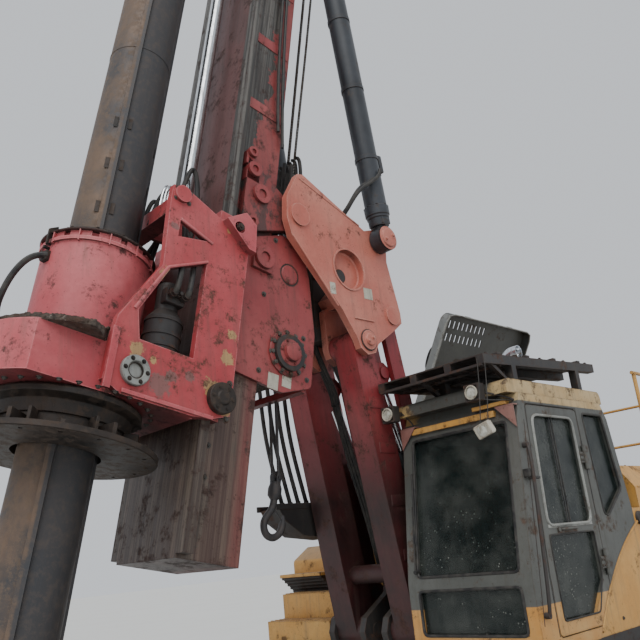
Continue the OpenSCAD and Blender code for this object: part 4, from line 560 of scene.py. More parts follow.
class Piece:
    """One piece while it is made: a bmesh that grows part by part."""

    def __init__(self):
        self.shape = bmesh.new()

    def put(self, part, place):
        bmesh.ops.transform(part, matrix=place, verts=part.verts)
        held = bpy.data.meshes.new("part")
        part.to_mesh(held)
        part.free()
        self.shape.from_mesh(held)
        bpy.data.meshes.remove(held)

    def rod(self, a, b, radius, tip=None, sides=20, place=Matrix()):
        part = bmesh.new()
        bmesh.ops.create_cone(part, cap_ends=True, segments=sides, radius1=radius,
                              radius2=radius if tip is None else tip, depth=(Vector(b) - Vector(a)).length)
        self.put(part, place @ lie(a, b))

    def block(self, low, high, round_off=0.0, place=Matrix()):
        part = bmesh.new()
        size = Vector(high) - Vector(low)
        bmesh.ops.create_cube(part, size=1, matrix=Matrix.Diagonal((*size, 1)))
        if round_off:
            bmesh.ops.bevel(part, geom=part.edges[:], offset=round_off,
                            affect="EDGES", segments=3, profile=0.5, material=-1)
        self.put(part, place @ Matrix.Translation((Vector(low) + Vector(high)) / 2))

    def pad(self, low, high, y, half, round_off=0.0):
        """A block between two corners (x, z), with half its thickness on either side of y."""
        self.block((low[0], y - half, low[1]), (high[0], y + half, high[1]), round_off)

    def plate(self, outline, thick, place, holes=()):
        """A flat outline in local x and y with round holes (x, y, radius), thick along local z."""
        part = bmesh.new()
        rims = [[Vector((x, y, 0)) for x, y in outline]]
        rims += [[Vector((x + r * math.cos(k * math.pi / 10), y + r * math.sin(k * math.pi / 10), 0))
                  for k in range(20)]
                 for x, y, r in holes]
        for rim in rims:
            corners = [part.verts.new(c) for c in rim]
            for a, b in zip(corners, corners[1:] + corners[:1]):
                part.edges.new((a, b))
        bmesh.ops.triangle_fill(part, use_beauty=True, edges=part.edges[:], normal=(0, 0, 1))
        out = bmesh.ops.extrude_face_region(part, geom=part.faces[:])
        bmesh.ops.translate(part, verts=[v for v in out["geom"] if isinstance(v, bmesh.types.BMVert)],
                            vec=(0, 0, thick))
        self.put(part, place)

    def lathe(self, profile, place, steps):
        """A line of (radius, height) turned round local Z; closed where its ends meet or reach the axis."""
        part = bmesh.new()
        line = [part.verts.new((r, 0, z)) for r, z in profile]
        edges = [part.edges.new(pair) for pair in zip(line, line[1:])]
        bmesh.ops.spin(part, geom=line + edges, cent=(0, 0, 0), axis=(0, 0, 1), angle=2 * math.pi, steps=steps,
                       use_merge=True)
        bmesh.ops.remove_doubles(part, verts=part.verts, dist=1e-5)
        self.put(part, place)

    def ring(self, place, bore, outside, thick, steps):
        self.lathe([(bore, 0), (outside, 0), (outside, thick), (bore, thick), (bore, 0)], place, steps)

    def bolt(self, place, size):
        """A washer, a hexagon head and the thread's end, standing on local z = 0."""
        self.rod((0, 0, 0), (0, 0, size * 0.14), size * 0.85, sides=14, place=place)
        self.rod((0, 0, size * 0.14), (0, 0, size * 0.62), size * 0.58, size * 0.54, 6, place)
        self.rod((0, 0, size * 0.62), (0, 0, size * 0.75), size * 0.26, size * 0.2, 8, place)

    def side_bolts(self, y, size, spots):
        """Bolts on the side face at y, one at each (x, z)."""
        for x, z in spots:
            self.bolt(outward(x, y, z), size)

    def bar(self, x, z, low, high, radius, sides):
        """A rod that lies across the machine, from one y to another."""
        self.rod((x, low, z), (x, high, z), radius, sides=sides)

    def bolts(self, place, radius, count, size, start=0.0):
        for k in range(count):
            self.bolt(turned(place, start + k * 2 * math.pi / count) @ shift(radius, 0, 0), size)

    def tube(self, points, radius, closed=False, straight=False, sides=3, place=Matrix(), steps=5):
        """A round tube along a smooth line that the points pull into shape, or straight from one to the next."""
        curve = bpy.data.curves.new("line", "CURVE")
        curve.dimensions = "3D"
        curve.bevel_depth = radius
        curve.bevel_resolution = sides
        curve.resolution_u = steps
        curve.use_fill_caps = True
        line = curve.splines.new("POLY" if straight else "NURBS")
        line.points.add(len(points) - 1)
        for point, co in zip(line.points, points):
            point.co = (*co, 1)
        if not straight:
            line.order_u = min(4, len(points))
            line.use_endpoint_u = not closed
        line.use_cyclic_u = closed
        holder = bpy.data.objects.new("line", curve)
        mesh = bpy.data.meshes.new_from_object(holder)
        part = bmesh.new()
        part.from_mesh(mesh)
        self.put(part, place)
        bpy.data.objects.remove(holder)
        bpy.data.curves.remove(curve)
        bpy.data.meshes.remove(mesh)

    def seal(self, outline, corner, radius):
        """A closed strip round an outline, its corners eased by the given reach."""
        self.tube(softened(outline, corner), radius, closed=True, straight=True, sides=2)

    def done(self, name, body, look, place=Matrix(), soften=0.0, sharp=35):
        """Closes the piece: joins its doubles, turns its faces out, smooths it and puts it on its body."""
        bmesh.ops.transform(self.shape, matrix=place, verts=self.shape.verts)
        bmesh.ops.remove_doubles(self.shape, verts=self.shape.verts, dist=1e-5)
        bmesh.ops.recalc_face_normals(self.shape, faces=self.shape.faces)
        for face in self.shape.faces:
            face.smooth = True
            face.material_index = 0
        for edge in self.shape.edges:
            edge.smooth = len(edge.link_faces) == 2 and edge.calc_face_angle(0) < math.radians(sharp)
        mesh = bpy.data.meshes.new(name)
        self.shape.to_mesh(mesh)
        self.shape.free()
        mesh.materials.clear()
        mesh.materials.append(finish[look])
        piece = bpy.data.objects.new(name, mesh)
        bpy.context.scene.collection.objects.link(piece)
        if soften:
            bevel = piece.modifiers.new("soften", "BEVEL")
            bevel.width = soften
            bevel.segments = 2
            bevel.limit_method = "ANGLE"
            bevel.angle_limit = math.radians(40)
        if body:
            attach(piece, body)
        return piece


def hose(name, points, radius):
    """A hose that is a piece of its own, left on no body, between two bodies."""
    line = Piece()
    line.tube(points, radius, place=on_slew)
    return line.done(name, None, "hose_rubber")


both = (1, -1)


# The drive: flanges, drum cap, crust of soil, ports and hoses on the carriage

drum_top_w = -0.77
gearbox_top_w = -1.5
gearbox_low_w = -1.8
port_at = (1.127, -1.642)


def drive_fittings():
    axis = shift(kelly_u, 0, 0)

    steel = Piece()
    for s in both:
        port = outward(port_at[0], s * plate_out, port_at[1])
        steel.lathe([(0.05, -0.002), (0.093, -0.002), (0.093, 0.022), (0.088, 0.028), (0.056, 0.028), (0.05, 0.02),
                     (0.05, -0.002)], port, 40)
        steel.rod((0, 0, 0), (0, 0, 0.006), 0.046, place=port)
    steel.done("drive_ports", "carriage", "pale_trim", on_mast)

    pins = Piece()
    for s in both:
        port = outward(port_at[0], s * plate_out, port_at[1])
        pins.bolts(port @ lift(0.026), 0.072, 6, 0.017)
        pins.ring(port @ lift(-0.001), 0.044, 0.0505, 0.02, 32)
        boss = outward(0.52, s * (plate_out + 0.04), -1.64)
        pins.lathe([(0, 0.014), (0.04, 0.014), (0.046, 0.009), (0.05, 0.005),
                    (0.096, 0.005), (0.101, -0.001), (0.101, -0.039)], boss, 36)
        pins.bolts(boss @ lift(-0.004), 0.074, 6, 0.022)
        pins.bar(0.564, -0.413, s * 0.5, s * 0.558, 0.028, 6)
        pins.bar(0.564, -0.413, s * 0.5, s * 0.568, 0.014, 14)
    pins.done("drive_pins", "carriage", "sleeve_steel", on_mast)

    red = Piece()
    for s in both:
        ear = [(0.674, -0.388), (0.524, -0.273), (0.427, -0.334), (0.409, -0.549), (0.47, -0.545)]
        red.plate([(u, -w * s) for u, w in ear], 0.066,
                  outward(0, s * (plate_out - 0.002), 0), [(0.564, 0.413 * s, 0.042)])
        red.pad((1.262, -1.79), (1.308, -1.415), s * 0.482, 0.012, 0.004)
        for low, high in (((0.7, -1.79), (1.19, -1.765)), ((0.56, -1.79), (0.7, -1.765))):
            red.pad(low, high, s * 0.484, 0.01, 0.003)
        for (u0, w0), (u1, w1) in (((0.745, -0.748), (1.02, -0.905)), ((1.02, -0.905), (1.196, -1.262)),
                                   ((0.728, -0.6), (0.99, -0.53))):
            red.rod((u0, s * 0.48, w0), (u1, s * 0.48, w1), 0.012, sides=8)
    for k in range(12):
        fin = turned(axis, (k + 0.5) * math.pi / 6) @ shift(0.345, 0, drum_top_w - 0.05)
        red.block((-0.01, -0.004, -0.03), (0.02, 0.004, 0.048), place=fin)
    red.done("drive_trim", "carriage", "drum_red", on_mast, 0.002)

    cap = Piece()
    cap.lathe([(0.318, 0.002), (0.366, 0.002), (0.371, 0.007), (0.366, 0.012), (0.318, 0.014), (0.318, 0.002)],
              axis @ lift(drum_top_w - 0.004), 72)
    cap.done("drum_cap_rim", "carriage", "mast_red", on_mast)

    bolts = Piece()
    bolts.bolts(axis @ lift(drum_top_w + 0.009), 0.346, 12, 0.018)
    bolts.bolts(axis @ lift(gearbox_low_w) @ flip, 0.5, 30, 0.022)
    for s in both:
        bolts.side_bolts(s * plate_out, 0.026, ((0.46, -1.52), (0.46, -1.76)))
        bolts.side_bolts(s * plate_out, 0.02, ((1.05, -0.31), (1.05, -0.39), (0.95, -0.39), (0.95, -0.31)))
    bolts.done("drive_bolts", "carriage", "old_iron", on_mast)

    crust = Piece()
    seat_w = gearbox_top_w - 0.004
    crust.lathe([(0.33, 0), (0.602, 0), (0.6, 0.012), (0.588, 0.038), (0.555, 0.058), (0.5, 0.074),
                 (0.44, 0.092), (0.39, 0.106), (0.352, 0.116), (0.33, 0.12), (0.33, 0)], axis @ lift(seat_w), 200)
    bmesh.ops.subdivide_edges(crust.shape, edges=crust.shape.edges[:], cuts=1, use_grid_fill=True)
    # the crust keeps its reach in front, is pulled in behind and gets its lumps last
    hub_r = 0.4
    for vert in crust.shape.verts:
        away = Vector((vert.co.x - kelly_u, vert.co.y, 0))
        beside = abs(math.atan2(away.y, away.x))
        open_side = min(1.0, max(0.0, (math.radians(88) - beside) / 0.25))
        if open_side < 1 and away.length > hub_r:
            vert.co -= away.normalized() * (away.length - hub_r) * (1 - open_side)
            away = Vector((vert.co.x - kelly_u, vert.co.y, 0))
        if away.length > 0.34 and vert.co.z > seat_w + 0.002:
            lump = noise.fractal(vert.co * 22, 0.8, 2.0, 5)
            raised = noise.fractal(vert.co * 30, 0.7, 2.1, 5) * 0.017
            vert.co += away.normalized() * (lump - 0.5) * 0.016 + Vector((0, 0, raised))
    crust.done("soil_crust", "carriage", "dry_soil", on_mast, sharp=60)

    dark = Piece()
    dark.lathe([(0.305, 0.0), (0.43, 0.0), (0.452, -0.02),
                (0.452, -0.05), (0.4, -0.075), (0.385, -0.15), (0.305, -0.15)],
               axis @ lift(gearbox_low_w - 0.002), 60)
    for k in range(8):
        dark.block((0.375, -0.01, -0.235), (0.465, 0.01, -0.15),
                   place=turned(axis, k * math.pi / 4) @ lift(gearbox_low_w))
    dark.done("sleeve_shield", "carriage", "sleeve_steel", on_mast, 0.003)

    spun = Piece()
    spun.bolts(axis @ lift(-2.07), 0.47, 16, 0.036, math.pi / 16)
    spun.bolts(axis @ lift(drum_top_w + 0.04), 0.312, 12, 0.018)
    for k in range(12):
        spun.block((0.296, -0.012, -2.068), (0.545, 0.012, -1.985 if k % 2 else -2.03),
                   place=turned(axis, (k + 0.25) * math.pi / 6))
    spun.lathe([(0.575, -2.092), (0.583, -2.092), (0.583, -2.06), (0.575, -2.06), (0.575, -2.092)], axis, 72)
    spun.done("sleeve_ribs", "sleeve", "sleeve_steel", on_mast, 0.002)

    motors = Piece()
    for s in both:
        seat = shift(0.88, s * 0.275, gearbox_top_w)
        motors.bolts(seat @ lift(0.04), 0.135, 10, 0.022)
        for z in (0.12, 0.2, 0.3):
            motors.ring(seat @ lift(z), 0.119, 0.126, 0.018, 40)
        motors.block((-0.07, s * 0.06 - 0.03, 0.42), (0.07, s * 0.06 + 0.05, 0.53), 0.012, seat)
        motors.lathe([(0, 0.59), (0.062, 0.586), (0.074, 0.566), (0.074, 0.55)], seat, 28)
        for a, r in ((-0.045, 0.024), (0.045, 0.024), (0.0, 0.014)):
            motors.rod((a, s * 0.1, 0.475), (a, s * 0.175, 0.475), r, sides=6, place=seat)
            motors.rod((a, s * 0.12, 0.475), (a, s * 0.15, 0.475), r * 1.35, sides=6, place=seat)
    motors.done("motor_fittings", "carriage", "dark_steel", on_mast, 0.002)

    hoses = Piece()
    for s in both:
        for a, reach in ((-0.045, 0.0), (0.045, 0.05)):
            hoses.tube([(0.88 + a, s * 0.44, -1.025), (0.88 + a, s * 0.47, -1.02),
                        (0.86 + a, s * (0.44 + reach * 0.3), -0.8 + reach), (0.8 + a, s * 0.3, -0.55 + reach),
                        (0.8, s * 0.2, -0.42 + reach), (0.78, s * 0.16, -0.25)], 0.019)
    hoses.tube([(1.7, -0.16, -1.44), (1.79, -0.12, -1.36), (1.8, -0.06, -1.2),
                (1.76, 0.0, -1.02), (1.7, 0.05, -0.94), (1.63, 0.07, -0.93)], 0.02)
    for s, tall in ((1, 0.22), (-1, 0.14)):
        hoses.tube([(0.93, s * 0.1, -0.4), (0.84, s * 0.11, -0.18), (0.8, s * 0.12, tall - 0.1),
                    (0.76, s * 0.12, tall), (0.7, s * 0.12, tall - 0.12),
                    (0.68, s * 0.13, -0.14), (0.7, s * 0.13, -0.4)], 0.018)
        hoses.tube([(1.0, s * 0.06, -0.4), (0.97, s * 0.06, -0.16), (0.93, s * 0.07, -0.055),
                    (0.87, s * 0.08, -0.12), (0.84, s * 0.08, -0.34)], 0.016)
    hoses.done("drive_hoses", "carriage", "hose_rubber", on_mast)

    pipes = Piece()
    for k, y in enumerate((0.12, 0.17, 0.22)):
        pipes.tube([(0.975, y, -0.33), (0.975, y, -0.2), (0.965, y - 0.01, -0.075 - k * 0.03),
                    (0.93, y - 0.03, -0.045 - k * 0.03)], 0.0125)
        pipes.rod((0.975, y, -0.33), (0.975, y, -0.28), 0.02, sides=6)
    pipes.done("drive_pipes", "carriage", "rod_chrome", on_mast)

    clamps = Piece()
    knuckle = turned(shift(kelly_u, 0, 0), math.radians(8))
    clamps.block((0.335, -0.03, -0.965), (0.372, 0.03, -0.895), 0.006, knuckle)
    clamps.rod((0.345, 0, -0.93), (0.392, 0, -0.93), 0.024, sides=6, place=knuckle)
    clamps.rod((0.345, 0, -0.872), (0.385, 0, -0.872), 0.012, sides=6, place=knuckle)
    clamps.plate([(0.3, -0.85), (0.378, -0.85), (0.378, -0.74), (0.322, -0.7)], 0.016,
                 turned(knuckle @ shift(0, 0.012, 0), math.pi / 2, "X"))
    clamps.done("drum_bracket", "carriage", "sleeve_steel", on_mast, 0.002)


# The mast: flange bolts, lugs, winch hubs, clamps, ropes and the hook

mast_back_u = 0.14
mast_half = 0.34
head_w = 15.3
front_u = 0.98
rear_u = -0.04
head_cheeks = (-0.197, 0.28)
rope_r = 0.014
main_y = -0.11
aux_y = 0.19
rope_turn_r = 0.3
wound_half = 0.27
main_winch = (-0.08, -1.1, 0.165)
aux_winch = (-0.04, -0.47, 0.12)


def mast_fittings():
    lugs = Piece()
    for s in both:
        for u, w, r, tall in ((0.44, 0.381, 0.044, 0.11), (0.408, 0.238, 0.062, 0.1),
                              (0.319, 0.057, 0.078, 0.06), (0.375, -0.209, 0.045, 0.05),
                              (0.232, -0.452, 0.088, 0.1)):
            place = outward(u, s * 0.4, w)
            lugs.ring(place @ lift(-0.004), r * 0.45, r, 0.03, 28)
            lugs.rod((0, 0, -0.004), (0, 0, 0.012), r * 0.46, sides=20, place=place)
            lugs.block((u - r, min(s * 0.335, s * 0.4), w - tall), (u + r, max(s * 0.335, s * 0.4), w + r * 0.3), 0.006)
        for w in (0.9, 1.6, 2.3, 3.9, 4.9, 6.1, 7.4, 9.9, 11.1, 12.3, 13.5):
            lugs.pad((0.155, w - 0.05), (0.5, w + 0.05), s * mast_half, 0.006, 0.003)
    for w in (-2.0, -1.3, 0.9, 2.0, 4.3, 5.6, 7.0, 10.2, 11.8, 13.4):
        lugs.block((mast_back_u - 0.01, -0.3, w - 0.04), (mast_back_u + 0.002, 0.3, w + 0.04), 0.003)
    lugs.done("mast_lugs", "mast", "winch_red", on_mast, 0.002)

    bolts = Piece()
    for w in (3.1, 8.9, 14.6):
        for side in (1, -1):
            place = lift(w + 0.035 * side) if side > 0 else turned(lift(w - 0.035), math.pi, "X")
            for s in both:
                for u in spaced(0.13, 0.06, 6):
                    bolts.bolt(place @ shift(u, s * 0.368, 0), 0.034)
            for y in spaced(-0.28, 0.08, 8):
                bolts.bolt(place @ shift(0.112, y, 0), 0.034)
    for s in both:
        bolts.side_bolts(s * mast_half, 0.022, [(0.47, w) for w in spaced(-0.3, -0.2, 10)])
        hub = outward(main_winch[0], s * (0.37 if s < 0 else 0.382), main_winch[1])
        bolts.bolts(hub, 0.152, 12, 0.03, 0.2)
        bolts.side_bolts(s * 0.37, 0.024, ((-0.28, -1.24), (-0.22, -0.93), (0.16, -1.3), (0.18, -0.72),
                                           (0.12, -0.24), (-0.15, -0.25)))
    bolts.done("mast_bolts", "mast", "old_iron", on_mast)

    hubs = Piece()
    for s in both:
        hub = outward(main_winch[0], s * 0.368, main_winch[1])
        hubs.lathe([(0.135, 0), (0.172, 0), (0.172, 0.014), (0.164, 0.02), (0.135, 0.02)], hub, 44)
        if s > 0:
            hubs.lathe([(0, 0.088), (0.058, 0.088), (0.07, 0.08),
                        (0.074, 0.052), (0.1, 0.048), (0.104, 0.03), (0.128, 0.047), (0.134, 0.044)], hub, 44)
            hubs.bolts(hub @ lift(0.048), 0.088, 6, 0.018)
        hubs.lathe([(0, 0.01), (0.07, 0.01), (0.078, 0.004), (0.078, 0.0)],
                   outward(aux_winch[0], s * 0.368, aux_winch[1]), 36)
    hubs.done("winch_hubs", "mast", "winch_red", on_mast, 0.002)

    for name, (u, w, drum_r), body in (("main", main_winch, "main_drum"), ("aux", aux_winch, "aux_drum")):
        wound = Piece()
        count = 19
        pitch = 2 * wound_half / count
        profile = [(drum_r - 0.004, -wound_half)]
        for turn in range(count):
            middle = -wound_half + (turn + 0.5) * pitch
            profile += [(drum_r + rope_r + rope_r * math.sin(a), middle - rope_r * math.cos(a))
                        for a in (0.0, 0.9, 1.57, 2.24, 3.14)]
        profile.append((drum_r - 0.004, wound_half))
        wound.lathe(profile, outward(u, 0.0001, w), 44)
        for s in both:
            wound.bolts(outward(u, s * 0.31, w), drum_r + 0.02, 10, 0.016)
        wound.done(name + "_wound_rope", body, "wire_rope", on_mast, sharp=70)

    blocks = Piece()
    for w in (5.0, 6.9, 9.0, 10.9):
        blocks.ring(shift(0.72, 0, w), 0.086, 0.112, 0.07, 36)
        blocks.block((0.598, -0.15, w), (0.66, 0.15, w + 0.07), 0.006)
        for s in both:
            blocks.side_bolts(s * 0.108, 0.022, [(0.72, w + 0.035)])
    for w in (5.17, 10.68):
        blocks.block((0.66, 0.08, w - 0.06), (0.78, 0.15, w + 0.06), 0.008)
        blocks.bar(0.72, w, 0.14, 0.19, 0.026, 6)
    blocks.done("crowd_clamps", "mast", "dark_steel", on_mast, 0.002)

    pipes = Piece()
    for k, (y, low, high) in enumerate(((0.19, 3.6, 10.68), (0.23, 3.6, 4.92), (0.27, 3.6, 14.2))):
        pipes.tube([(0.625, y, low), (0.625, y, high - 0.1), (0.7, 0.19 if k < 2 else y, high)], 0.014, straight=True)
        for w in (3.7, 4.6, 5.8, 7.2, 8.6, 10.2, 11.6, 13.0):
            if w < high:
                pipes.block((0.6, y - 0.024, w), (0.648, y + 0.024, w + 0.04), 0.004)
    for k in range(4):
        y = -0.1 + k * 0.05
        pipes.tube([(0.118, y, -0.2), (0.118, y, 2.8), (0.07, y, 3.0), (0.07, y, 3.2),
                    (0.118, y, 3.4), (0.118, y, 8.7 - k)], 0.012, straight=True)
    for w in (0.5, 1.7, 2.6, 3.9, 5.2):
        pipes.block((0.098, -0.135, w), (0.14, 0.085, w + 0.05), 0.005)
    pipes.done("mast_pipes", "mast", "dark_steel", on_mast)

    hoses = Piece()
    for k in range(7):
        y = -0.2 + k * 0.058
        dip = 0.08 * math.sin(k * 2.1)
        hoses.tube([(0.1, y, 0.4), (0.06, y, 0.1 + dip), (-0.1, y * 1.1, -0.02 + dip), (-0.17, y, 0.25),
                    (-0.16, y * 0.8, 0.75 + dip)], 0.017 + 0.002 * (k % 2))
    for s in both:
        for (a, b, c, d), (high, mid, low) in (((0.3, 0.3, 0.27, 0.2), (2.1, 1.3, 0.75)),
                                               ((0.26, 0.25, 0.21, 0.14), (2.0, 1.2, 0.62))):
            hoses.tube([(a, s * 0.365, 2.85), (b, s * 0.37, high), (c, s * 0.372, mid), (d, s * 0.37, low)], 0.013)
    hoses.done("mast_hoses", "mast", "hose_rubber", on_mast)

    labels = Piece()
    for u, w, wide, tall in ((0.027, -1.342, 0.095, 0.115), (-0.095, -1.29, 0.085, 0.125)):
        labels.pad((u - wide / 2, w - tall / 2), (u + wide / 2, w + tall / 2), 0.3705, 0.001)
    labels.done("bare_plates_winch", "mast", "bare_label", on_mast)


def ropes():
    fall = Piece()
    fall.tube([(kelly_u, main_y, head_w), (kelly_u, 0, 10.02)], rope_r, straight=True, place=on_mast)
    rope = fall.done("kelly_rope", None, "wire_rope")
    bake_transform(rope)
    tail = Piece()
    tail.tube([(kelly_u, 0, 10.02), (kelly_u, 0, 9.8)], rope_r, straight=True, place=on_mast)
    rope = tail.done("kelly_rope_tail", None, "wire_rope")
    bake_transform(rope)

    socket = Piece()
    socket.lathe([(0.016, 0.1), (0.03, 0.1), (0.052, -0.06), (0.052, -0.16), (0.016, -0.16)],
                 shift(kelly_u, 0, 10.16), 24)
    for w in spaced(10.3, 0.07, 3):
        socket.ring(shift(kelly_u, 0, w), 0.013, 0.024, 0.03, 12)
    socket.done("rope_socket", "kelly_core", "old_iron", on_mast, 0.002)

    over = Piece()
    for y in (main_y, aux_y):
        quarter = [(rope_turn_r * math.cos(k * math.pi / 16), rope_turn_r * math.sin(k * math.pi / 16))
                   for k in range(9)]
        arc = [(front_u + near, y, head_w + far) for near, far in quarter]
        back = [(rear_u - far, y, head_w + near) for near, far in quarter]
        over.tube(arc + back, rope_r, straight=True)
    u, w, drum_r = main_winch
    over.tube([(rear_u - rope_turn_r, main_y, head_w), (u - drum_r - rope_r, -0.06, w)], rope_r, straight=True)
    u, w, drum_r = aux_winch
    sway = [(0, 15.3), (0.004, 10.0), (-0.006, 4.0), (0.01, 2.9), (-0.008, 2.0), (0.012, 1.1), (0, 0.4), (0, -0.47)]
    start, end = Vector((rear_u - rope_turn_r, aux_y, head_w)), Vector((u - drum_r - rope_r, 0.12, w))
    over.tube([end + (start - end) * ((w - end.z) / (start.z - end.z)) + Vector((aside, aside * 0.6, 0))
               for aside, w in sway], rope_r * 0.8)
    over.tube([(front_u + rope_turn_r, aux_y, head_w), (front_u + rope_turn_r, aux_y, 12.86)],
              rope_r * 0.8, straight=True)
    for w in spaced(12.9, 0.05, 3):
        over.ring(shift(front_u + rope_turn_r, aux_y, w), 0.01, 0.022, 0.022, 12)
    over.done("mast_ropes", "mast", "wire_rope", on_mast)

    hooks = Piece()
    for place, size in ((shift(front_u + rope_turn_r, aux_y, 12.8), 0.8), (shift(-0.368, 0.0, -1.98), 1.0)):
        grip = place @ Matrix.Scale(size, 4)
        hooks.lathe([(0.0, 0.07), (0.035, 0.065), (0.05, 0.02), (0.05, -0.03), (0.028, -0.06), (0.0, -0.06)], grip, 24)
        hooks.tube([(0, 0, -0.05), (0, 0, -0.12), (0.045, 0, -0.17), (0.085, 0, -0.235),
                    (0.055, 0, -0.32), (-0.035, 0, -0.335), (-0.095, 0, -0.27), (-0.095, 0, -0.215)],
                   0.026, sides=3, place=grip)
        hooks.rod((-0.095, 0, -0.225), (-0.1, 0, -0.155), 0.026, 0.008, 14, grip)
        hooks.rod((-0.09, 0, -0.2), (0.03, 0, -0.09), 0.006, sides=8, place=grip)
        hooks.ring(turned(grip @ shift(0, -0.012, 0.1), -math.pi / 2, "X"), 0.022, 0.046, 0.024, 20)
    for y in (-0.035, 0.035):
        hooks.rod((-0.275, y, -1.3), (-0.368, y, -1.9), 0.011, sides=8)
        hooks.pad((-0.388, -1.96), (-0.348, -1.86), y, 0.006, 0.004)
    hooks.bar(-0.368, -1.885, -0.05, 0.05, 0.014, 12)
    hooks.done("lifting_hooks", "mast", "kelly_rust", on_mast, sharp=50)


# The front linkage: pin caps, valve blocks, collars, hoses and bare plates

arm_foot = Vector((1.55, 0, 1.56))
arm_head = Vector((1.891, 0, 3.713))
link_foot = Vector((1.22, 0, 1.81))
luff_foot = Vector((0.91, 0, 1.58))
luff_head = Vector((1.6198, 0, 3.503))
cylinder_foot = Vector((1.631, 0, 4.603))
cylinder_head = Vector((1.98544, 0, 8.21209))
cheek_out = 0.48


def pin_cap(piece, x, y, z, radius, bolts=3):
    """A pin's end plate with its bolts, standing 14 mm off the face at y."""
    place = outward(x, y, z)
    piece.lathe([(0, 0.016), (radius * 0.72, 0.016), (radius * 0.8, 0.01), (radius * 0.8, 0.002), (radius, 0.0)],
                place, 32)
    piece.bolts(place @ lift(0.015), radius * 0.5, bolts, 0.024, 0.5)


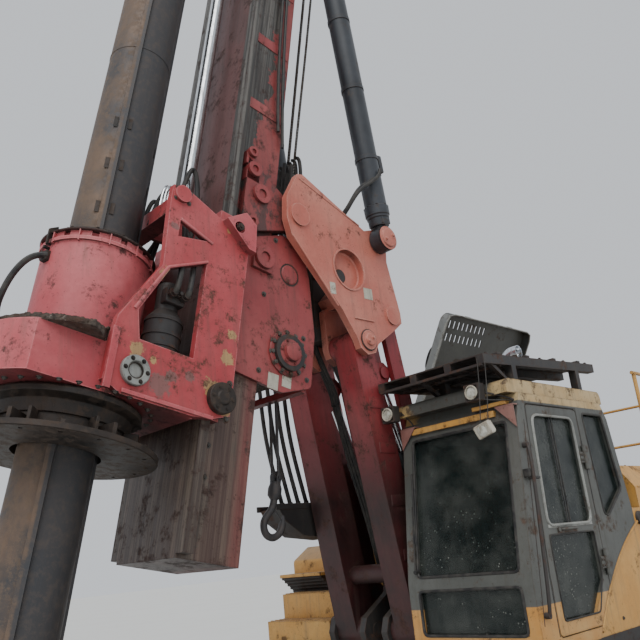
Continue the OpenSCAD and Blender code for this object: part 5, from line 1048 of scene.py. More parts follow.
def linkage_fittings():
    caps = Piece()
    for s in both:
        pin_cap(caps, arm_head.x, s * 0.494, arm_head.z, 0.062, 2)
        pin_cap(caps, cylinder_foot.x, s * 0.607, cylinder_foot.z, 0.104, 2)
        cup = outward(2.021, s * cheek_out, 4.283)
        caps.lathe([(0.18, 0.0), (0.18, 0.007), (0.166, 0.007), (0.163, -0.05), (0.152, -0.058), (0, -0.058)], cup, 48)
        caps.pad((1.8, 3.872), (2.02, 3.884), s * 0.484, 0.006, 0.003)
        for a, b in (((1.84, 4.71), (2.48, 4.96)), ((2.19, 3.95), (2.6, 4.45))):
            caps.rod((a[0], s * 0.478, a[1]), (b[0], s * 0.478, b[1]), 0.009, sides=8)
    caps.done("bracket_trim", "bracket", "bracket_red", on_slew, 0.0015)

    dark = Piece()
    dark.block((1.66, -0.074, 3.8), (2.05, 0.074, 4.46), 0.012)
    for z in (3.92, 4.14, 4.34):
        dark.block((1.68, -0.08, z), (2.04, 0.08, z + 0.018), 0.003)
    for y in spaced(-0.05, 0.025, 5):
        dark.rod((2.046, y, 4.22), (2.075, y, 4.22), 0.01, sides=6)
    for s in both:
        dark.bar(2.075, 4.235, s * 0.4235, s * 0.4265, 0.058, 32)
        dark.ring(outward(arm_head.x, s * 0.4835, arm_head.z), 0.062, 0.088, 0.006, 36)
        dark.block((2.02, s * 0.29 - 0.12, 4.4), (2.16, s * 0.29 + 0.12, 4.5), 0.01)
        for x, y in zip(spaced(2.05, 0.02, 4), spaced(0.2, 0.055, 4)):
            dark.rod((x, s * y, 4.5), (x, s * y, 4.535), 0.017, sides=6)
    dark.done("bracket_valves", "bracket", "dark_steel", on_slew, 0.002)

    plates = Piece()
    for x, z, wide, tall in ((2.229, 4.088, 0.06, 0.095), (1.829, 4.109, 0.1, 0.095)):
        plates.pad((x - wide / 2, z - tall / 2), (x + wide / 2, z + tall / 2), cheek_out + 0.0005, 0.001)
    plates.done("bare_plates_bracket", "bracket", "bare_label", on_slew)

    arm = Piece()
    arm_up = (arm_head - arm_foot).normalized()
    for s in both:
        for point in (arm_foot, arm_head):
            arm.ring(outward(point.x, s * 0.414, point.z) @ lift(-0.002), 0.062, 0.1, 0.006, 36)
        for up in (0.55, 0.95, 1.35, 1.7):
            at = arm_foot + arm_up * up
            arm.pad((at.x - 0.1, at.z - 0.05), (at.x + 0.08, at.z + 0.03), s * 0.414, 0.005, 0.003)
        arm.ring(outward(luff_head.x, s * 0.366, luff_head.z), 0.0, 0.052, 0.012, 24)
    arm.done("arm_trim", "arm", "arm_red", on_slew, 0.0015)

    tray = Piece()
    tray.plate([(1.52, -2.55), (2.14, -2.54), (2.08, -2.44), (1.9, -2.32), (1.58, -2.28), (1.5, -2.4)], 0.24,
               outward(0, -0.7, 0) @ flip)
    for y in (-0.708, -0.468):
        tray.block((1.49, y, 2.53), (2.17, y + 0.016, 2.575), 0.004)
    for x in (1.6, 1.72):
        tray.block((x, -0.48, 2.46), (x + 0.05, -0.405, 2.54), 0.006)
    tray.rod((1.62, -0.62, 2.56), (1.56, -0.62, 2.68), 0.012, sides=10)
    tray.bar(1.56, 2.68, -0.66, -0.58, 0.014, 10)
    tray_ports = list(zip(spaced(1.93, -0.055, 4), spaced(-0.66, 0.04, 4)))
    for x, y in tray_ports:
        tray.rod((x, y, 2.5), (x, y, 2.6), 0.022, sides=6)
    tray.done("hose_tray", "arm", "dark_steel", on_slew, 0.002)
    manifold = Piece()
    manifold.block((1.96, -0.69, 3.82), (2.16, -0.475, 3.9), 0.01)
    manifold.done("hose_manifold", "bracket", "dark_steel", on_slew, 0.002)
    for k, (x, y) in enumerate(tray_ports):
        joined = hose(f"tray_hose_{k}", [(x, y, 2.58), (x + 0.03, y, 2.7), (x + 0.11, y, 3.0), (x + 0.15, y, 3.35),
                                         (x + 0.15, y, 3.6), (2.12 - 0.045 * k, y, 3.86)], 0.018)
        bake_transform(joined)

    lines = Piece()
    for s in both:
        for k in range(3):
            side = s * (0.05 + 0.03 * k)
            a, b = arm_foot + Vector((-0.14, side, 0.42)), arm_head + Vector((-0.13, side, -0.4))
            lines.tube([a + (b - a) * t + Vector((0.012 * math.sin(9 * t + k), 0, 0))
                        for t in (0, 0.2, 0.4, 0.6, 0.8, 1.0)], 0.014)
    lines.done("arm_hoses", "arm", "hose_rubber", on_slew)

    for s, tag in ((1, "left"), (-1, "right")):
        for k in range(3):
            low = Vector((1.1 + 0.05 * k, s * (0.03 + 0.02 * k), 1.56))
            foot = arm_foot + Vector((-0.14, s * (0.05 + 0.03 * k), 0.42))
            joined = hose(f"foot_hose_{tag}_{k}",
                          [low, low + Vector((0.02, 0, 0.2)), foot + Vector((-0.06, 0, -0.2)), foot], 0.016)
            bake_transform(joined)
            top = arm_head + Vector((-0.13, s * (0.05 + 0.03 * k), -0.4))
            into = arm_head + Vector((0.05, s * (0.05 + 0.02 * k), 0.3))
            joined = hose(f"head_hose_{tag}_{k}",
                          [top, top + Vector((-0.02, 0, 0.16)), into + Vector((0.12, 0, -0.22)), into], 0.015)
            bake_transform(joined)

    up = stand(cylinder_foot, cylinder_head)
    barrels = Piece()
    for s in both:
        seat = Matrix.Translation((0, s * 0.541, 0)) @ up
        barrels.lathe([(0.05, 0.118), (0.078, 0.118), (0.086, 0.135),
                       (0.086, 0.2), (0.104, 0.215), (0.106, 0.29), (0.094, 0.3)], seat, 40)
        barrels.block((-0.08, s * 0.004 - 0.05, 0.125), (0.08, s * 0.004 + 0.05, 0.205), 0.008, seat)
        barrels.bolts(seat @ lift(0.292), 0.097, 8, 0.014)
        barrels.ring(seat @ lift(2.93), 0.096, 0.11, 0.1, 40)
        barrels.bolts(seat @ lift(3.02), 0.084, 10, 0.018)
        for z in (0.72, 1.4, 2.1):
            barrels.ring(seat @ lift(z), 0.094, 0.101, 0.035, 40)
        barrels.block((-0.075, s * 0.085, 0.62), (0.065, s * 0.13, 0.78), 0.008, seat)
        barrels.block((-0.045, s * 0.08, 2.78), (0.045, s * 0.125, 2.88), 0.008, seat)
        barrels.tube([(0.02, s * 0.112, 0.77), (0.02, s * 0.118, 1.0), (0.02, s * 0.118, 2.6), (0.02, s * 0.112, 2.8)],
                     0.012, place=seat)
        for a in (-0.04, 0.02):
            barrels.rod((a, s * 0.105, 0.6), (a, s * 0.105, 0.64), 0.022, sides=6, place=seat)
        barrels.ring(outward(cylinder_foot.x, s * 0.595, cylinder_foot.z), 0.052, 0.104, 0.004, 36)
    barrels.done("mast_cylinder_fittings", "mast_barrels", "black_barrel", on_slew, 0.0015)

    for s, tag in ((1, "left"), (-1, "right")):
        for k, a in enumerate((-0.04, 0.02)):
            start = up @ Vector((a, 0, 0.6)) + Vector((0, s * 0.646, 0))
            end = Vector((2.02 - 0.03 * k, s * 0.4, 4.66))
            joined = hose(f"cylinder_hose_{tag}_{k}",
                          [start, start + Vector((0.02, 0, -0.1)), (start.x + 0.24, s * 0.625, 5.03 - 0.03 * k),
                           (start.x + 0.3, s * 0.52, 4.8), end + Vector((0, 0, 0.08)), end], 0.015)
            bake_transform(joined)

    luff = Piece()
    luff_up = stand(luff_foot, luff_head)
    for s in both:
        seat = Matrix.Translation((0, s * 0.282, 0)) @ luff_up
        luff.bolts(seat @ lift(1.4), 0.056, 8, 0.014)
        luff.ring(seat @ lift(1.27), 0.067, 0.074, 0.03, 32)
        luff.ring(seat @ lift(0.5), 0.067, 0.072, 0.03, 32)
        luff.tube([(-0.072, 0, 0.3), (-0.078, 0, 0.4), (-0.078, 0, 1.2), (-0.072, 0, 1.31)], 0.008, place=seat)
    luff.done("luff_cylinder_fittings", "luff_barrels", "black_barrel", on_slew, 0.001)

    crossing = Piece()
    pivot_lines = spaced(-0.24, 0.068, 8)
    for y in pivot_lines:
        crossing.tube([(1.98, y, 4.36), (2.02, y, 4.48), (2.1, y * 0.9, 4.6), (2.2, y * 0.9, 4.78)],
                      0.016, place=on_slew)
    crossing.done("bracket_hoses", "bracket", "hose_rubber")
    for k, y in enumerate(pivot_lines):
        a, b = Vector((2.2, y * 0.9, 4.78)), on_slew.inverted() @ on_mast @ Vector((-0.16, y * 0.75, 0.8))
        joined = hose(f"pivot_hose_{k}", [a, a + Vector((0.06, 0, 0.11)), b + Vector((-0.1, 0, 0.06)), b], 0.016)
        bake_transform(joined)


# The cab, its door, the roof guard and the lamps

cab_y0 = 0.5
cab_y1 = 1.51
cab_front = 1.81
lamp_faces = [shift(1.8, y, 3.12) @ face_fore for y in (0.5, 1.28)]


def screen_x(z):
    return cab_front - 0.155 * (z - 1.89) / 1.03


def rear_x(z):
    return 0.19 + 0.12 * (z - 2.19) / 0.77


def guard_top(x):
    return 3.36 + 0.09 * (1.8 - x) / 1.65 + 0.01


high_window = [(0.9, 2.19), (1.51, 2.19), (1.465, 2.94), (0.9, 2.94)]
low_window = [(1.03, 1.6), (1.515, 1.6), (1.515, 2.13), (0.9, 2.13), (0.9, 1.84)]
quarter_window = [(0.31, 2.42), (0.62, 2.22), (0.68, 2.24), (0.72, 2.99), (0.4, 2.99)]
right_window = [(0.34, 1.92), (1.58, 1.92), (1.52, 2.89), (0.41, 2.89)]


def cab_fittings():
    seals = Piece()
    for low, high, face in ((1.93, 2.9, screen_x), (1.55, 1.84, lambda z: cab_front), (2.25, 2.89, rear_x)):
        inset = 0.59 if face is not rear_x else 0.63
        frame = [(face(z) - (0.004 if face is not rear_x else -0.004), y, z) for y, z in
                 ((inset, low), (cab_y0 + cab_y1 - inset, low), (cab_y0 + cab_y1 - inset, high), (inset, high))]
        seals.seal(frame, 0.04, 0.011)
    for outline, y in ((quarter_window, cab_y1 - 0.004), (right_window, cab_y0 + 0.004)):
        seals.seal([(x, y, z) for x, z in outline], 0.035, 0.01)
    seals.tube([(0.805, cab_y1 - 0.006, 2.2), (0.805, cab_y1 - 0.006, 3.02),
                (1.52, cab_y1 - 0.006, 3.02), (1.607, cab_y1 - 0.006, 1.89), (1.607, cab_y1 - 0.006, 1.52)],
               0.008, straight=True, sides=2)
    seals.rod((screen_x(1.97) + 0.016, 0.585, 1.97), (screen_x(2.42) + 0.016, 0.575, 2.42), 0.007, 0.005, 8)
    seals.rod((screen_x(2.16) + 0.01, 0.59, 2.16), (screen_x(2.66) + 0.01, 0.578, 2.66), 0.007, sides=6)
    seals.rod((screen_x(1.97) - 0.02, 0.585, 1.97), (screen_x(1.97) + 0.024, 0.585, 1.97), 0.02, 0.014, 12)
    seals.block((1.655, 1.505, 2.505), (1.7, 1.56, 2.56), 0.008)
    seals.block((1.6, 1.525, 2.49), (1.68, 1.575, 2.51), 0.006)
    seals.done("cab_seals", "upper", "hose_rubber", on_slew)

    trim = Piece()
    trim.block((1.628, 0.6, 2.945), (1.668, 1.34, 2.99), 0.004)
    trim.block((1.595, 1.16, 3.015), (1.655, 1.44, 3.045), 0.004)
    for y in (0.7, 0.92, 1.14, 1.3):
        trim.bolt(shift(1.668, y, 2.967) @ face_fore, 0.018)
    trim.done("brow_bars", "upper", "old_yellow", on_slew, 0.002)

    dark = Piece()
    for y in spaced(0.5, 0.075, 13):
        dark.rod((1.3, y, 3.335), (1.79, y, 3.302), 0.006, sides=6)
    for x, z in ((1.32, 3.332), (1.55, 3.316), (1.78, 3.3)):
        dark.block((x, 0.46, z - 0.012), (x + 0.025, 1.4, z + 0.006))
    for x in (0.35, 0.75, 1.15, 1.55):
        z = guard_top(x)
        dark.block((x, 0.45, z), (x + 0.045, 1.41, z + 0.022), 0.004)
    for y in (0.46, 1.4):
        for x in spaced(0.25, 0.185, 9):
            dark.bolt(shift(x, y, guard_top(x)), 0.022)
    dark.tube([(1.735, 1.538, 1.66), (1.75, 1.565, 1.72),
               (1.72, 1.572, 2.2), (1.655, 1.572, 2.66), (1.635, 1.54, 2.72)], 0.012)
    for x, z in ((1.735, 1.66), (1.635, 2.72)):
        dark.bar(x, z, 1.505, 1.545, 0.02, 14)
    dark.tube([(0.68, cab_y0 - 0.004, 2.95), (0.68, 0.47, 2.96), (1.36, 0.47, 2.96), (1.36, cab_y0 - 0.004, 2.95)],
              0.011)
    for y in (0.505, 1.505):
        dark.tube([(screen_x(1.6) - 0.09, y, 1.6), (screen_x(1.89) - 0.09, y, 1.89), (screen_x(2.9) - 0.09, y, 2.9)],
                  0.007, straight=True, sides=2)
    dark.tube([(1.59, 0.62, 2.86), (1.6, 0.62, 3.02), (1.7, 0.56, 3.12)], 0.006)
    dark.tube([(1.52, 1.5, 3.0), (1.6, 1.52, 3.04), (1.7, 1.38, 3.1), (1.72, 1.32, 3.12)], 0.007)
    dark.done("guard_grille", "upper", "dark_steel", on_slew, sharp=40)

    rusty = Piece()
    for y0, y1 in ((1.36, 1.51), (0.65, 0.5)):
        corner = [(y0, 3.005), (y1, 3.005), (y1, 2.845)]
        rusty.plate(corner if y1 > y0 else corner[::-1], 0.008, shift(1.668, 0, 0) @ stand_fore)
        rusty.block((1.6, min(y0, y1), 2.998), (1.676, max(y0, y1), 3.008), 0.002)
    rusty.done("brow_brackets", "upper", "faded_red", on_slew, 0.001)

    lamps = Piece()
    for face in lamp_faces:
        lamps.lathe([(0.04, 0.0), (0.05, 0.0), (0.052, 0.01), (0.046, 0.014), (0.04, 0.012), (0.04, 0.0)], face, 32)
    hang = turned(turned(shift(1.98, 1.45, 2.82), 0.35, "Y"), 0.25, "X")
    lamps.block((-0.03, -0.062, -0.046), (0.018, 0.062, 0.046), 0.01, hang)
    lamps.plate([(-0.056, -0.04), (0.056, -0.04), (0.056, 0.04), (-0.056, 0.04)], 0.006,
                hang @ shift(0.018, 0, 0) @ stand_fore, [(0, 0, 0.036)])
    for k in range(5):
        lamps.block((-0.046, -0.05 + k * 0.024, -0.036), (-0.028, -0.044 + k * 0.024, 0.036), place=hang)
    lamps.done("lamp_rims", "upper", "bare_label", on_slew, 0.001)

    lenses = Piece()
    for face in lamp_faces:
        lenses.lathe([(0.0, 0.011), (0.022, 0.009), (0.04, 0.003), (0.04, -0.002)], face, 28)
    lenses.lathe([(0.0, 0.01), (0.02, 0.008), (0.036, 0.002), (0.036, -0.002)],
                 hang @ shift(0.022, 0, 0) @ face_fore, 24)
    lenses.done("lamp_lenses", "upper", "lamp_glass", on_slew)

    wires = Piece()
    for side in (-0.03, 0.03):
        wires.tube([(1.8, 1.4 + side, 3.34), (1.86, 1.42 + side, 3.1), (1.93, 1.44 + side, 2.95),
                    (1.965, 1.45 + side, 2.866)], 0.003, sides=1)
    wires.tube([(1.55, 1.5, 3.02), (1.64, 1.47, 3.06), (1.72, 1.4, 3.03), (1.76, 1.3, 3.08)], 0.005, sides=1)
    wires.done("lamp_wires", "upper", "hose_rubber", on_slew)

    inside = Piece()
    for s in both:
        y = 1.005 + s * 0.315
        inside.rod((1.0, y, 1.98), (1.02, y, 2.09), 0.03, 0.018, 14)
        inside.tube([(1.02, y, 2.08), (1.035, y, 2.14), (1.03, y, 2.2)], 0.011)
        inside.lathe([(0, 0.045), (0.017, 0.042), (0.024, 0.02), (0.02, -0.02), (0, -0.03)], shift(1.03, y, 2.22), 16)
    inside.block((1.4, 0.6, 1.5), (1.66, 0.76, 2.06), 0.02)
    inside.block((1.46, 0.585, 2.1), (1.5, 0.8, 2.3), 0.012)
    inside.rod((1.48, 0.69, 2.04), (1.48, 0.69, 2.12), 0.018, sides=12)
    for y in (0.9, 1.1):
        inside.block((1.52, y - 0.05, 1.53), (1.64, y + 0.05, 1.545), 0.004,
                     turned(shift(1.58, 0, 1.54), -0.5, "Y") @ shift(-1.58, 0, -1.54))
        inside.rod((1.56, y, 1.52), (1.5, y, 2.06), 0.01, 0.012, 10)
    inside.lathe([(0, 0.17), (0.045, 0.168), (0.062, 0.14), (0.062, -0.14), (0.045, -0.168), (0, -0.17)],
                 turned(shift(0.62, 0.64, 2.52), math.pi / 2, "X") @ lift(-0.2), 24)
    inside.block((0.26, 0.6, 1.52), (0.34, 1.4, 2.12), 0.02)
    inside.done("cab_controls", "upper", "seat_cloth", on_slew, 0.001, 45)

    rolls = Piece()
    for y, z, r in ((1.28, 2.2, 0.055), (1.16, 2.21, 0.062), (1.22, 2.31, 0.05), (0.8, 2.19, 0.045)):
        swirl = [(r * (0.15 + 0.85 * t) * math.cos(t * 16), r * (0.15 + 0.85 * t) * math.sin(t * 16))
                 for t in (i / 40 for i in range(41))]
        for length in (0.0, 0.012):
            rolls.tube([(0.34 + length, y + a, z + b) for a, b in swirl], 0.004, sides=1, steps=2)
        rolls.rod((0.3, y, z), (0.42, y, z), r, sides=20)
    rolls.block((1.5, 1.335, 2.66), (1.503, 1.405, 2.76))
    rolls.block((0.28, 0.66, 2.13), (0.4, 1.38, 2.15), 0.006)
    rolls.done("rear_shelf_rolls", "upper", "bare_label", on_slew, sharp=50)

    strips = Piece()
    strips.seal([(x, cab_y1, z) for x, z in high_window], 0.07, 0.011)
    strips.block((0.9, 1.498, 2.172), (1.51, 1.514, 2.198), 0.003)
    strips.done("door_strips", "cab_door", "pale_trim", on_slew)

    stops = Piece()
    stops.rod((1.19, 1.503, 2.2), (1.19, 1.503, 2.93), 0.006, sides=8)
    stops.rod((1.215, 1.5, 2.2), (1.215, 1.5, 2.93), 0.005, sides=8)
    stops.seal([(x, cab_y1 + 0.001, z) for x, z in low_window], 0.03, 0.006)
    stops.done("window_stops", "cab_door", "hose_rubber", on_slew)

    latch = Piece()
    latch.tube([(1.16, 1.512, 2.16), (1.165, 1.54, 2.16),
                (1.25, 1.548, 2.162), (1.335, 1.54, 2.16), (1.34, 1.512, 2.16)], 0.01)
    latch.bar(1.38, 2.16, 1.508, 1.52, 0.016, 16)
    latch.block((1.13, 1.5095, 2.134), (1.4, 1.512, 2.186), 0.001)
    latch.side_bolts(1.527, 0.012, [(x, z + up) for z in (1.87, 2.61) for x in (0.865, 0.89) for up in (0.02, 0.06)])
    latch.done("door_handle", "cab_door", "old_iron", on_slew)


# The engine hood, body panels, tail and the machine's under half

hood_open = math.radians(59)
on_hood = turned(shift(0, -1.384, 2.642), hood_open, "X")


def body_fittings():
    lip = Piece()
    lip.block((-0.3355, 0.15, -0.01), (-0.33, 2.07, 0.018), 0.002, on_hood)
    lip.tube([(-0.334, 0.14, -0.006), (-0.334, 2.08, -0.006), (-0.36, 2.155, -0.006),
              (-0.44, 2.18, -0.006), (-1.91, 2.18, -0.006), (-1.99, 2.155, -0.006), (-2.02, 2.08, -0.006),
              (-2.02, 0.14, -0.006)], 0.009, straight=True, place=on_hood, sides=2)
    lip.done("hood_lip", "engine_hood", "pale_trim", on_slew)
    grip = Piece()
    for y in (0.34, 1.5):
        grip.tube([(-0.39, y, 0.098), (-0.39, y + 0.01, 0.15), (-0.39, y + 0.14, 0.165), (-0.39, y + 0.27, 0.15),
                   (-0.39, y + 0.28, 0.098)], 0.012, place=on_hood)
    for x in spaced(-0.504, -0.082, 9):
        for y in (1.866, 2.016):
            grip.block((x - 0.006, y, 0.096), (x + 0.002, y + 0.092, 0.116), 0.002, on_hood)
    for x in (-0.42, -0.9, -1.4, -1.93):
        for y in (0.1, 2.1):
            grip.bolt(on_hood @ shift(x, y, 0.1), 0.018)
    for x in (-0.75, -1.6):
        grip.block((x - 0.03, 2.176, 0.02), (x + 0.03, 2.19, 0.075), 0.004, on_hood)
    grip.done("hood_grips", "engine_hood", "hose_rubber", on_slew, sharp=45)
    gas = Piece()
    for x in (-0.52, -1.86):
        a, b = Vector((x, -0.86, 2.64)), on_hood @ Vector((x, 1.0, 0.02))
        gas.rod(a, a + (b - a) * 0.55, 0.016, sides=16)
        gas.rod(a + (b - a) * 0.5, b, 0.008, sides=12)
    stay = gas.done("hood_stays", None, "old_iron", on_slew)
    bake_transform(stay)

    seams = Piece()
    for s in both:
        y = s * 1.5
        seams.side_bolts(y, 0.018, [(x, 1.5) for x in spaced(-3.05, 0.26, 9)])
        seams.side_bolts(y, 0.016, [(x, z) for x in (-3.12, -1.99, -0.8) for z in (1.56, 1.9, 2.3)])
    for k in range(11):
        seams.bolt(shift(-2.95 + k * 0.27, 1.3 if k % 2 else 1.33, 2.62), 0.016)
    seams.side_bolts(1.5, 0.016, ((0.02, 1.6), (0.02, 1.95), (0.02, 2.22), (0.3, 1.52), (0.7, 1.52)))
    for y in (-0.9, -0.3, 0.3, 0.9):
        seams.bolt(shift(-3.66, y, 2.35), 0.034)
    seams.done("panel_bolts", "upper", "old_iron", on_slew)

    beads = Piece()
    rim_r = 2.2
    rim = [(-0.70185 + rim_r * math.cos(a), 1.5, 0.13251 + rim_r * math.sin(a))
           for a in map(math.radians, spaced(37.6, 37.4 / 15, 16))]
    beads.tube([p for p in rim if p[0] > -0.05], 0.012, straight=True)
    for s in both:
        beads.tube([(-3.14, s * 1.497, 2.43), (-0.01 if s > 0 else -0.31, s * 1.497, 2.43)], 0.008, straight=True)
        beads.rod((-3.14, s * 1.502, 1.45), (-0.05, s * 1.502, 1.45), 0.01, sides=8)
    for z in spaced(1.7, 0.16, 3):
        beads.block((-3.946, -1.0, z), (-3.94, 1.0, z + 0.012))
    for x0, x1, z in ((1.15, 1.56, 1.63), (1.15, 1.36, 1.84)):
        for x in spaced(x0 + 0.03, 0.05, int((x1 - x0) / 0.05)):
            beads.bar(x, z + 0.002, -1.4, -0.62, 0.005, 6)
    beads.done("panel_beads", "upper", "old_yellow", on_slew)

    slots = Piece()
    for k in range(4):
        slots.tube([(0.02, 1.5015, 2.055 - k * 0.045), (-0.1, 1.5015, 2.052 - k * 0.045)], 0.007, straight=True)
    for s in both:
        for z in spaced(1.66, 0.09, 7):
            slots.pad((-2.94, z + 0.004), (-2.16, z + 0.014), s * 1.463, 0.012)
        slots.lathe([(0, 0.03), (0.022, 0.03), (0.026, 0.024), (0.048, 0.022), (0.052, 0.014), (0.052, -0.004)],
                    outward(0.1, s * 1.5, 2.19), 32)
    slots.lathe([(0, 0.065), (0.055, 0.063), (0.068, 0.05), (0.068, 0.0)], shift(0.2, -1.2, 2.3), 28)
    for k in range(6):
        a = k * math.pi / 3
        slots.rod((0.2, -1.2, 2.33), (0.2 + 0.068 * math.cos(a), -1.2 + 0.068 * math.sin(a), 2.345), 0.007, sides=6)
    slots.done("dark_slots", "upper", "dark_steel", on_slew)

    deck = Piece()
    for k in range(9):
        deck.tube([(0.95 - k * 0.11, -0.34 + 0.05 * (k % 3), 1.5), (0.8 - k * 0.12, -0.3 + 0.09 * (k % 4), 1.64),
                   (0.4 - k * 0.15, -0.1 + 0.07 * (k % 5), 1.6), (-k * 0.09, 0.05 * (k - 4), 1.46)], 0.018)
    for k in range(6):
        y = -0.25 + k * 0.1
        deck.tube([(1.1, y, 1.56), (0.95, y, 1.7), (0.7, y * 0.8, 1.62), (0.45, y * 0.6, 1.5)], 0.016)
    deck.done("deck_hoses", "upper", "hose_rubber", on_slew)

    valve = Piece()
    valve.block((0.15, -0.26, 1.45), (0.6, 0.26, 1.6), 0.012)
    for x in spaced(0.2, 0.06, 7):
        for s in both:
            valve.bar(x, 1.53, s * 0.26, s * 0.31, 0.02, 6)
    valve.done("main_valve", "upper", "old_iron", on_slew, 0.002)

    feet = Piece()
    for s in both:
        for foot in (arm_foot, link_foot, luff_foot):
            pin_cap(feet, foot.x, s * 0.494, foot.z, 0.066)
    feet.done("foot_pin_caps", "upper", "arm_red", on_slew, 0.001)

    slope = Piece()
    slope.plate([(1.3, -1.985), (0.7, -1.985), (0.7, -1.66), (0.95, -1.66)], 0.54, outward(0, -1.485, 0) @ flip)
    for k in range(11):
        t = (k + 0.5) / 11
        x, z = 1.3 - 0.35 * t, 1.985 - 0.325 * t
        slope.bar(x, z, -1.485, -0.945, 0.011, 8)
    slope.done("step_underside", "upper", "dark_steel", on_slew, 0.002)
    lip = Piece()
    lip.block((0.7, -1.495, 1.98), (1.31, -0.935, 2.01), 0.006)
    lip.done("step_lip", "upper", "old_yellow", on_slew)


wheel_x = 1.995
wheel_z = 0.53
roller_z = 0.255
beam_y = 1.94


def under_fittings():
    iron = Piece()
    caps = Piece()
    for s in both:
        iron.bolts(outward(-wheel_x, s * 1.96, wheel_z), 0.195, 16, 0.028)
        hub = outward(-wheel_x, s * 2.0, wheel_z)
        caps.lathe([(0, 0.022), (0.09, 0.02), (0.12, 0.008), (0.148, 0.004), (0.148, -0.01)], hub, 40)
        iron.bolts(hub @ lift(0.006), 0.132, 8, 0.018)
        motor = outward(-wheel_x, s * 1.44, wheel_z) @ flip
        iron.bolts(motor, 0.125, 8, 0.02)
        caps.block((-0.07, -0.07, -0.004), (0.07, 0.07, 0.045), 0.01, motor)
        caps.lathe([(0, 0.018), (0.035, 0.016), (0.058, 0.004), (0.058, -0.004)],
                   outward(wheel_x, s * beam_y, wheel_z), 28)
        iron.bolts(outward(wheel_x, s * beam_y, wheel_z) @ lift(0.002), 0.076, 6, 0.016)
        for x in spaced(-1.305, 0.32625, 9):
            caps.lathe([(0, 0.014), (0.03, 0.012), (0.043, 0.003), (0.043, -0.004)],
                       outward(x, s * beam_y, roller_z), 24)
            caps.pad((x - 0.075, roller_z + 0.052), (x + 0.075, roller_z + 0.125), s * (beam_y - 0.02), 0.022, 0.005)
            for dx in (-0.055, 0.055):
                iron.bolt(shift(x + dx, s * (beam_y - 0.02), roller_z + 0.052) @ flip, 0.024)
        caps.pad((-1.4, 0.655), (1.35, 0.695), s * beam_y, 0.006, 0.003)
        caps.pad((0.62, 0.46), (0.95, 0.62), s * beam_y, 0.008, 0.004)
        iron.side_bolts(s * (beam_y + 0.008), 0.018, [(x, z) for x in (0.65, 0.92) for z in (0.49, 0.59)])
    iron.done("track_bolts", "root", "old_iron", on_slew)
    caps.done("track_hubs", "root", "dark_steel", on_slew, 0.002)

    ring = Piece()
    ring.bolts(on_slew @ lift(1.13), 0.79, 36, 0.03)
    ring.done("slew_ring_bolts", "root", "old_iron")

    lines = Piece()
    for s in both:
        for k in range(3):
            y = s * (0.6 + 0.06 * k)
            lines.tube([(-0.5, y, 0.9), (-0.86, y, 0.88), (-1.05, s * (1.1 + 0.05 * k), 0.76), (-1.45, s * 1.36, 0.66),
                        (-1.8, s * 1.42, 0.62 - 0.03 * k), (-1.94, s * 1.425, 0.56)], 0.018)
        lines.tube([(-0.4, s * 0.45, 0.93), (-0.8, s * 0.5, 0.92), (-0.95, s * 0.62, 0.84)], 0.022)
    lines.done("travel_hoses", "root", "hose_rubber", on_slew)


def head_fittings():
    guards = Piece()
    guard_r = 0.348
    for y in (main_y, aux_y):
        for u in (front_u, rear_u):
            for a in (20, 60, 120, 160):
                x, w = u + guard_r * math.cos(math.radians(a)), head_w + guard_r * math.sin(math.radians(a))
                guards.bar(x, w, y - 0.065, y + 0.065, 0.012, 10)
    for y in head_cheeks:
        for u in (front_u, rear_u):
            guards.lathe([(0, 0.018), (0.058, 0.018), (0.07, 0.006), (0.07, 0)], outward(u, y, head_w), 28)
    guards.done("sheave_guards", "mast", "mast_red", on_mast, 0.001)
    iron = Piece()
    for y in head_cheeks:
        for u in (front_u, rear_u):
            iron.bolts(outward(u, y, head_w) @ lift(0.016), 0.04, 4, 0.018)
        iron.side_bolts(y * 0.99, 0.022, [(u, head_w - 0.1) for u in spaced(-0.02, 0.13, 8)])
    iron.rod((0.3, 0.1, head_w + 0.06), (0.3, 0.1, head_w + 0.2), 0.016, sides=10)
    iron.done("head_bolts", "mast", "old_iron", on_mast)


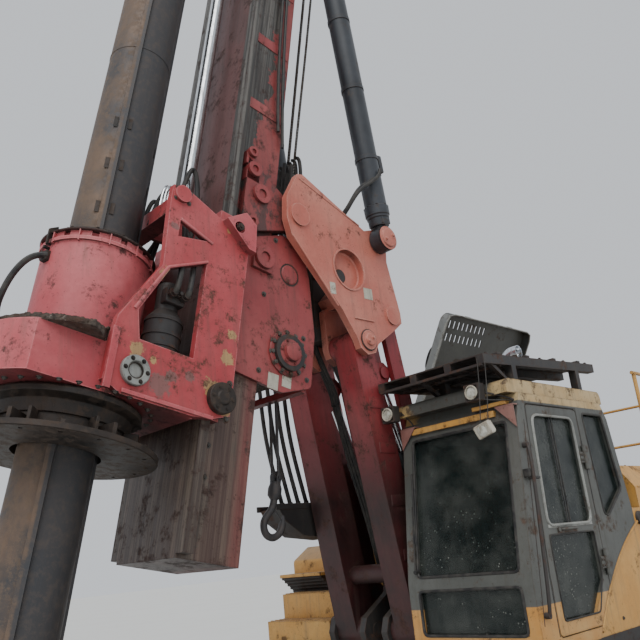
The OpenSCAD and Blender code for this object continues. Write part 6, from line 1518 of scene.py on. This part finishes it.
def kelly_fittings():
    dark = Piece()
    for k in range(3):
        spoke = turned(shift(kelly_u, 0, 0), kelly_rib_turn + math.radians(120 * k))
        for w in (-0.55, -0.2, 0.15, 3.0, 6.0, 8.6):
            for y in (0.034, -0.062):
                dark.block((0.219, y, w), (0.2212, y + 0.028, w + 0.085), place=spoke)
    dark.done("kelly_slots", "kelly", "sleeve_steel", on_mast)

    bands = Piece()
    for w, reach in ((9.6, 0.236), (8.55, 0.232)):
        bands.ring(shift(kelly_u, 0, w), 0.2205, reach, 0.05, 60)
    for w in (0.9, 3.9, 6.9):
        bands.ring(shift(kelly_u, 0, w), 0.2195, 0.223, 0.02, 60)
    bands.done("kelly_bands", "kelly", "kelly_rust", on_mast, 0.001)

    guide = Piece()
    for w in (9.04, 9.58):
        guide.bolts(shift(kelly_u, 0, w), 0.268, 12, 0.022)
    for s in both:
        guide.side_bolts(s * 0.454, 0.024, [(u, w) for w in (9.02, 9.22, 9.36, 9.55) for u in (0.58, 0.76)])
    guide.done("guide_bolts", "guide", "old_iron", on_mast)


def light_studio():
    """A pale floor, a pale sky all round and one broad soft sun."""
    scene = bpy.context.scene
    floor_mesh = bpy.data.meshes.new("floor")
    floor = bpy.data.objects.new("floor", floor_mesh)
    shape = bmesh.new()
    bmesh.ops.create_grid(shape, x_segments=1, y_segments=1, size=90)
    shape.to_mesh(floor_mesh)
    shape.free()
    scene.collection.objects.link(floor)
    s = Shade("floor_pale")
    s.feed(s.shader.inputs["Base Color"], s.mix(s.noise(0.4, 4), rgb(206, 206, 202), rgb(216, 216, 213)))
    s.shader.inputs["Roughness"].default_value = 0.9
    floor_mesh.materials.append(s.material)

    world = bpy.data.worlds.new("studio")
    world.use_nodes = True
    world.node_tree.nodes["Background"].inputs["Color"].default_value = rgb(226, 230, 236)
    world.node_tree.nodes["Background"].inputs["Strength"].default_value = 0.95
    scene.world = world
    scene.view_settings.view_transform = "AgX"
    data = bpy.data.lights.new("soft_sun", "SUN")
    data.angle = math.radians(50)
    data.energy = 1.7
    data.color = (1.0, 0.985, 0.96)
    lamp = bpy.data.objects.new("soft_sun", data)
    lamp.rotation_euler = Vector((-0.55, -0.45, -1.0)).to_track_quat("-Z", "Y").to_euler()
    scene.collection.objects.link(lamp)


add_camera()
light_studio()
smooth = smooth_tree()
for chosen, names in node_finish.items():
    for name in names:
        dress(name, chosen, smooth)

drive_fittings()
mast_fittings()
ropes()
linkage_fittings()
cab_fittings()
body_fittings()
under_fittings()
head_fittings()
kelly_fittings()
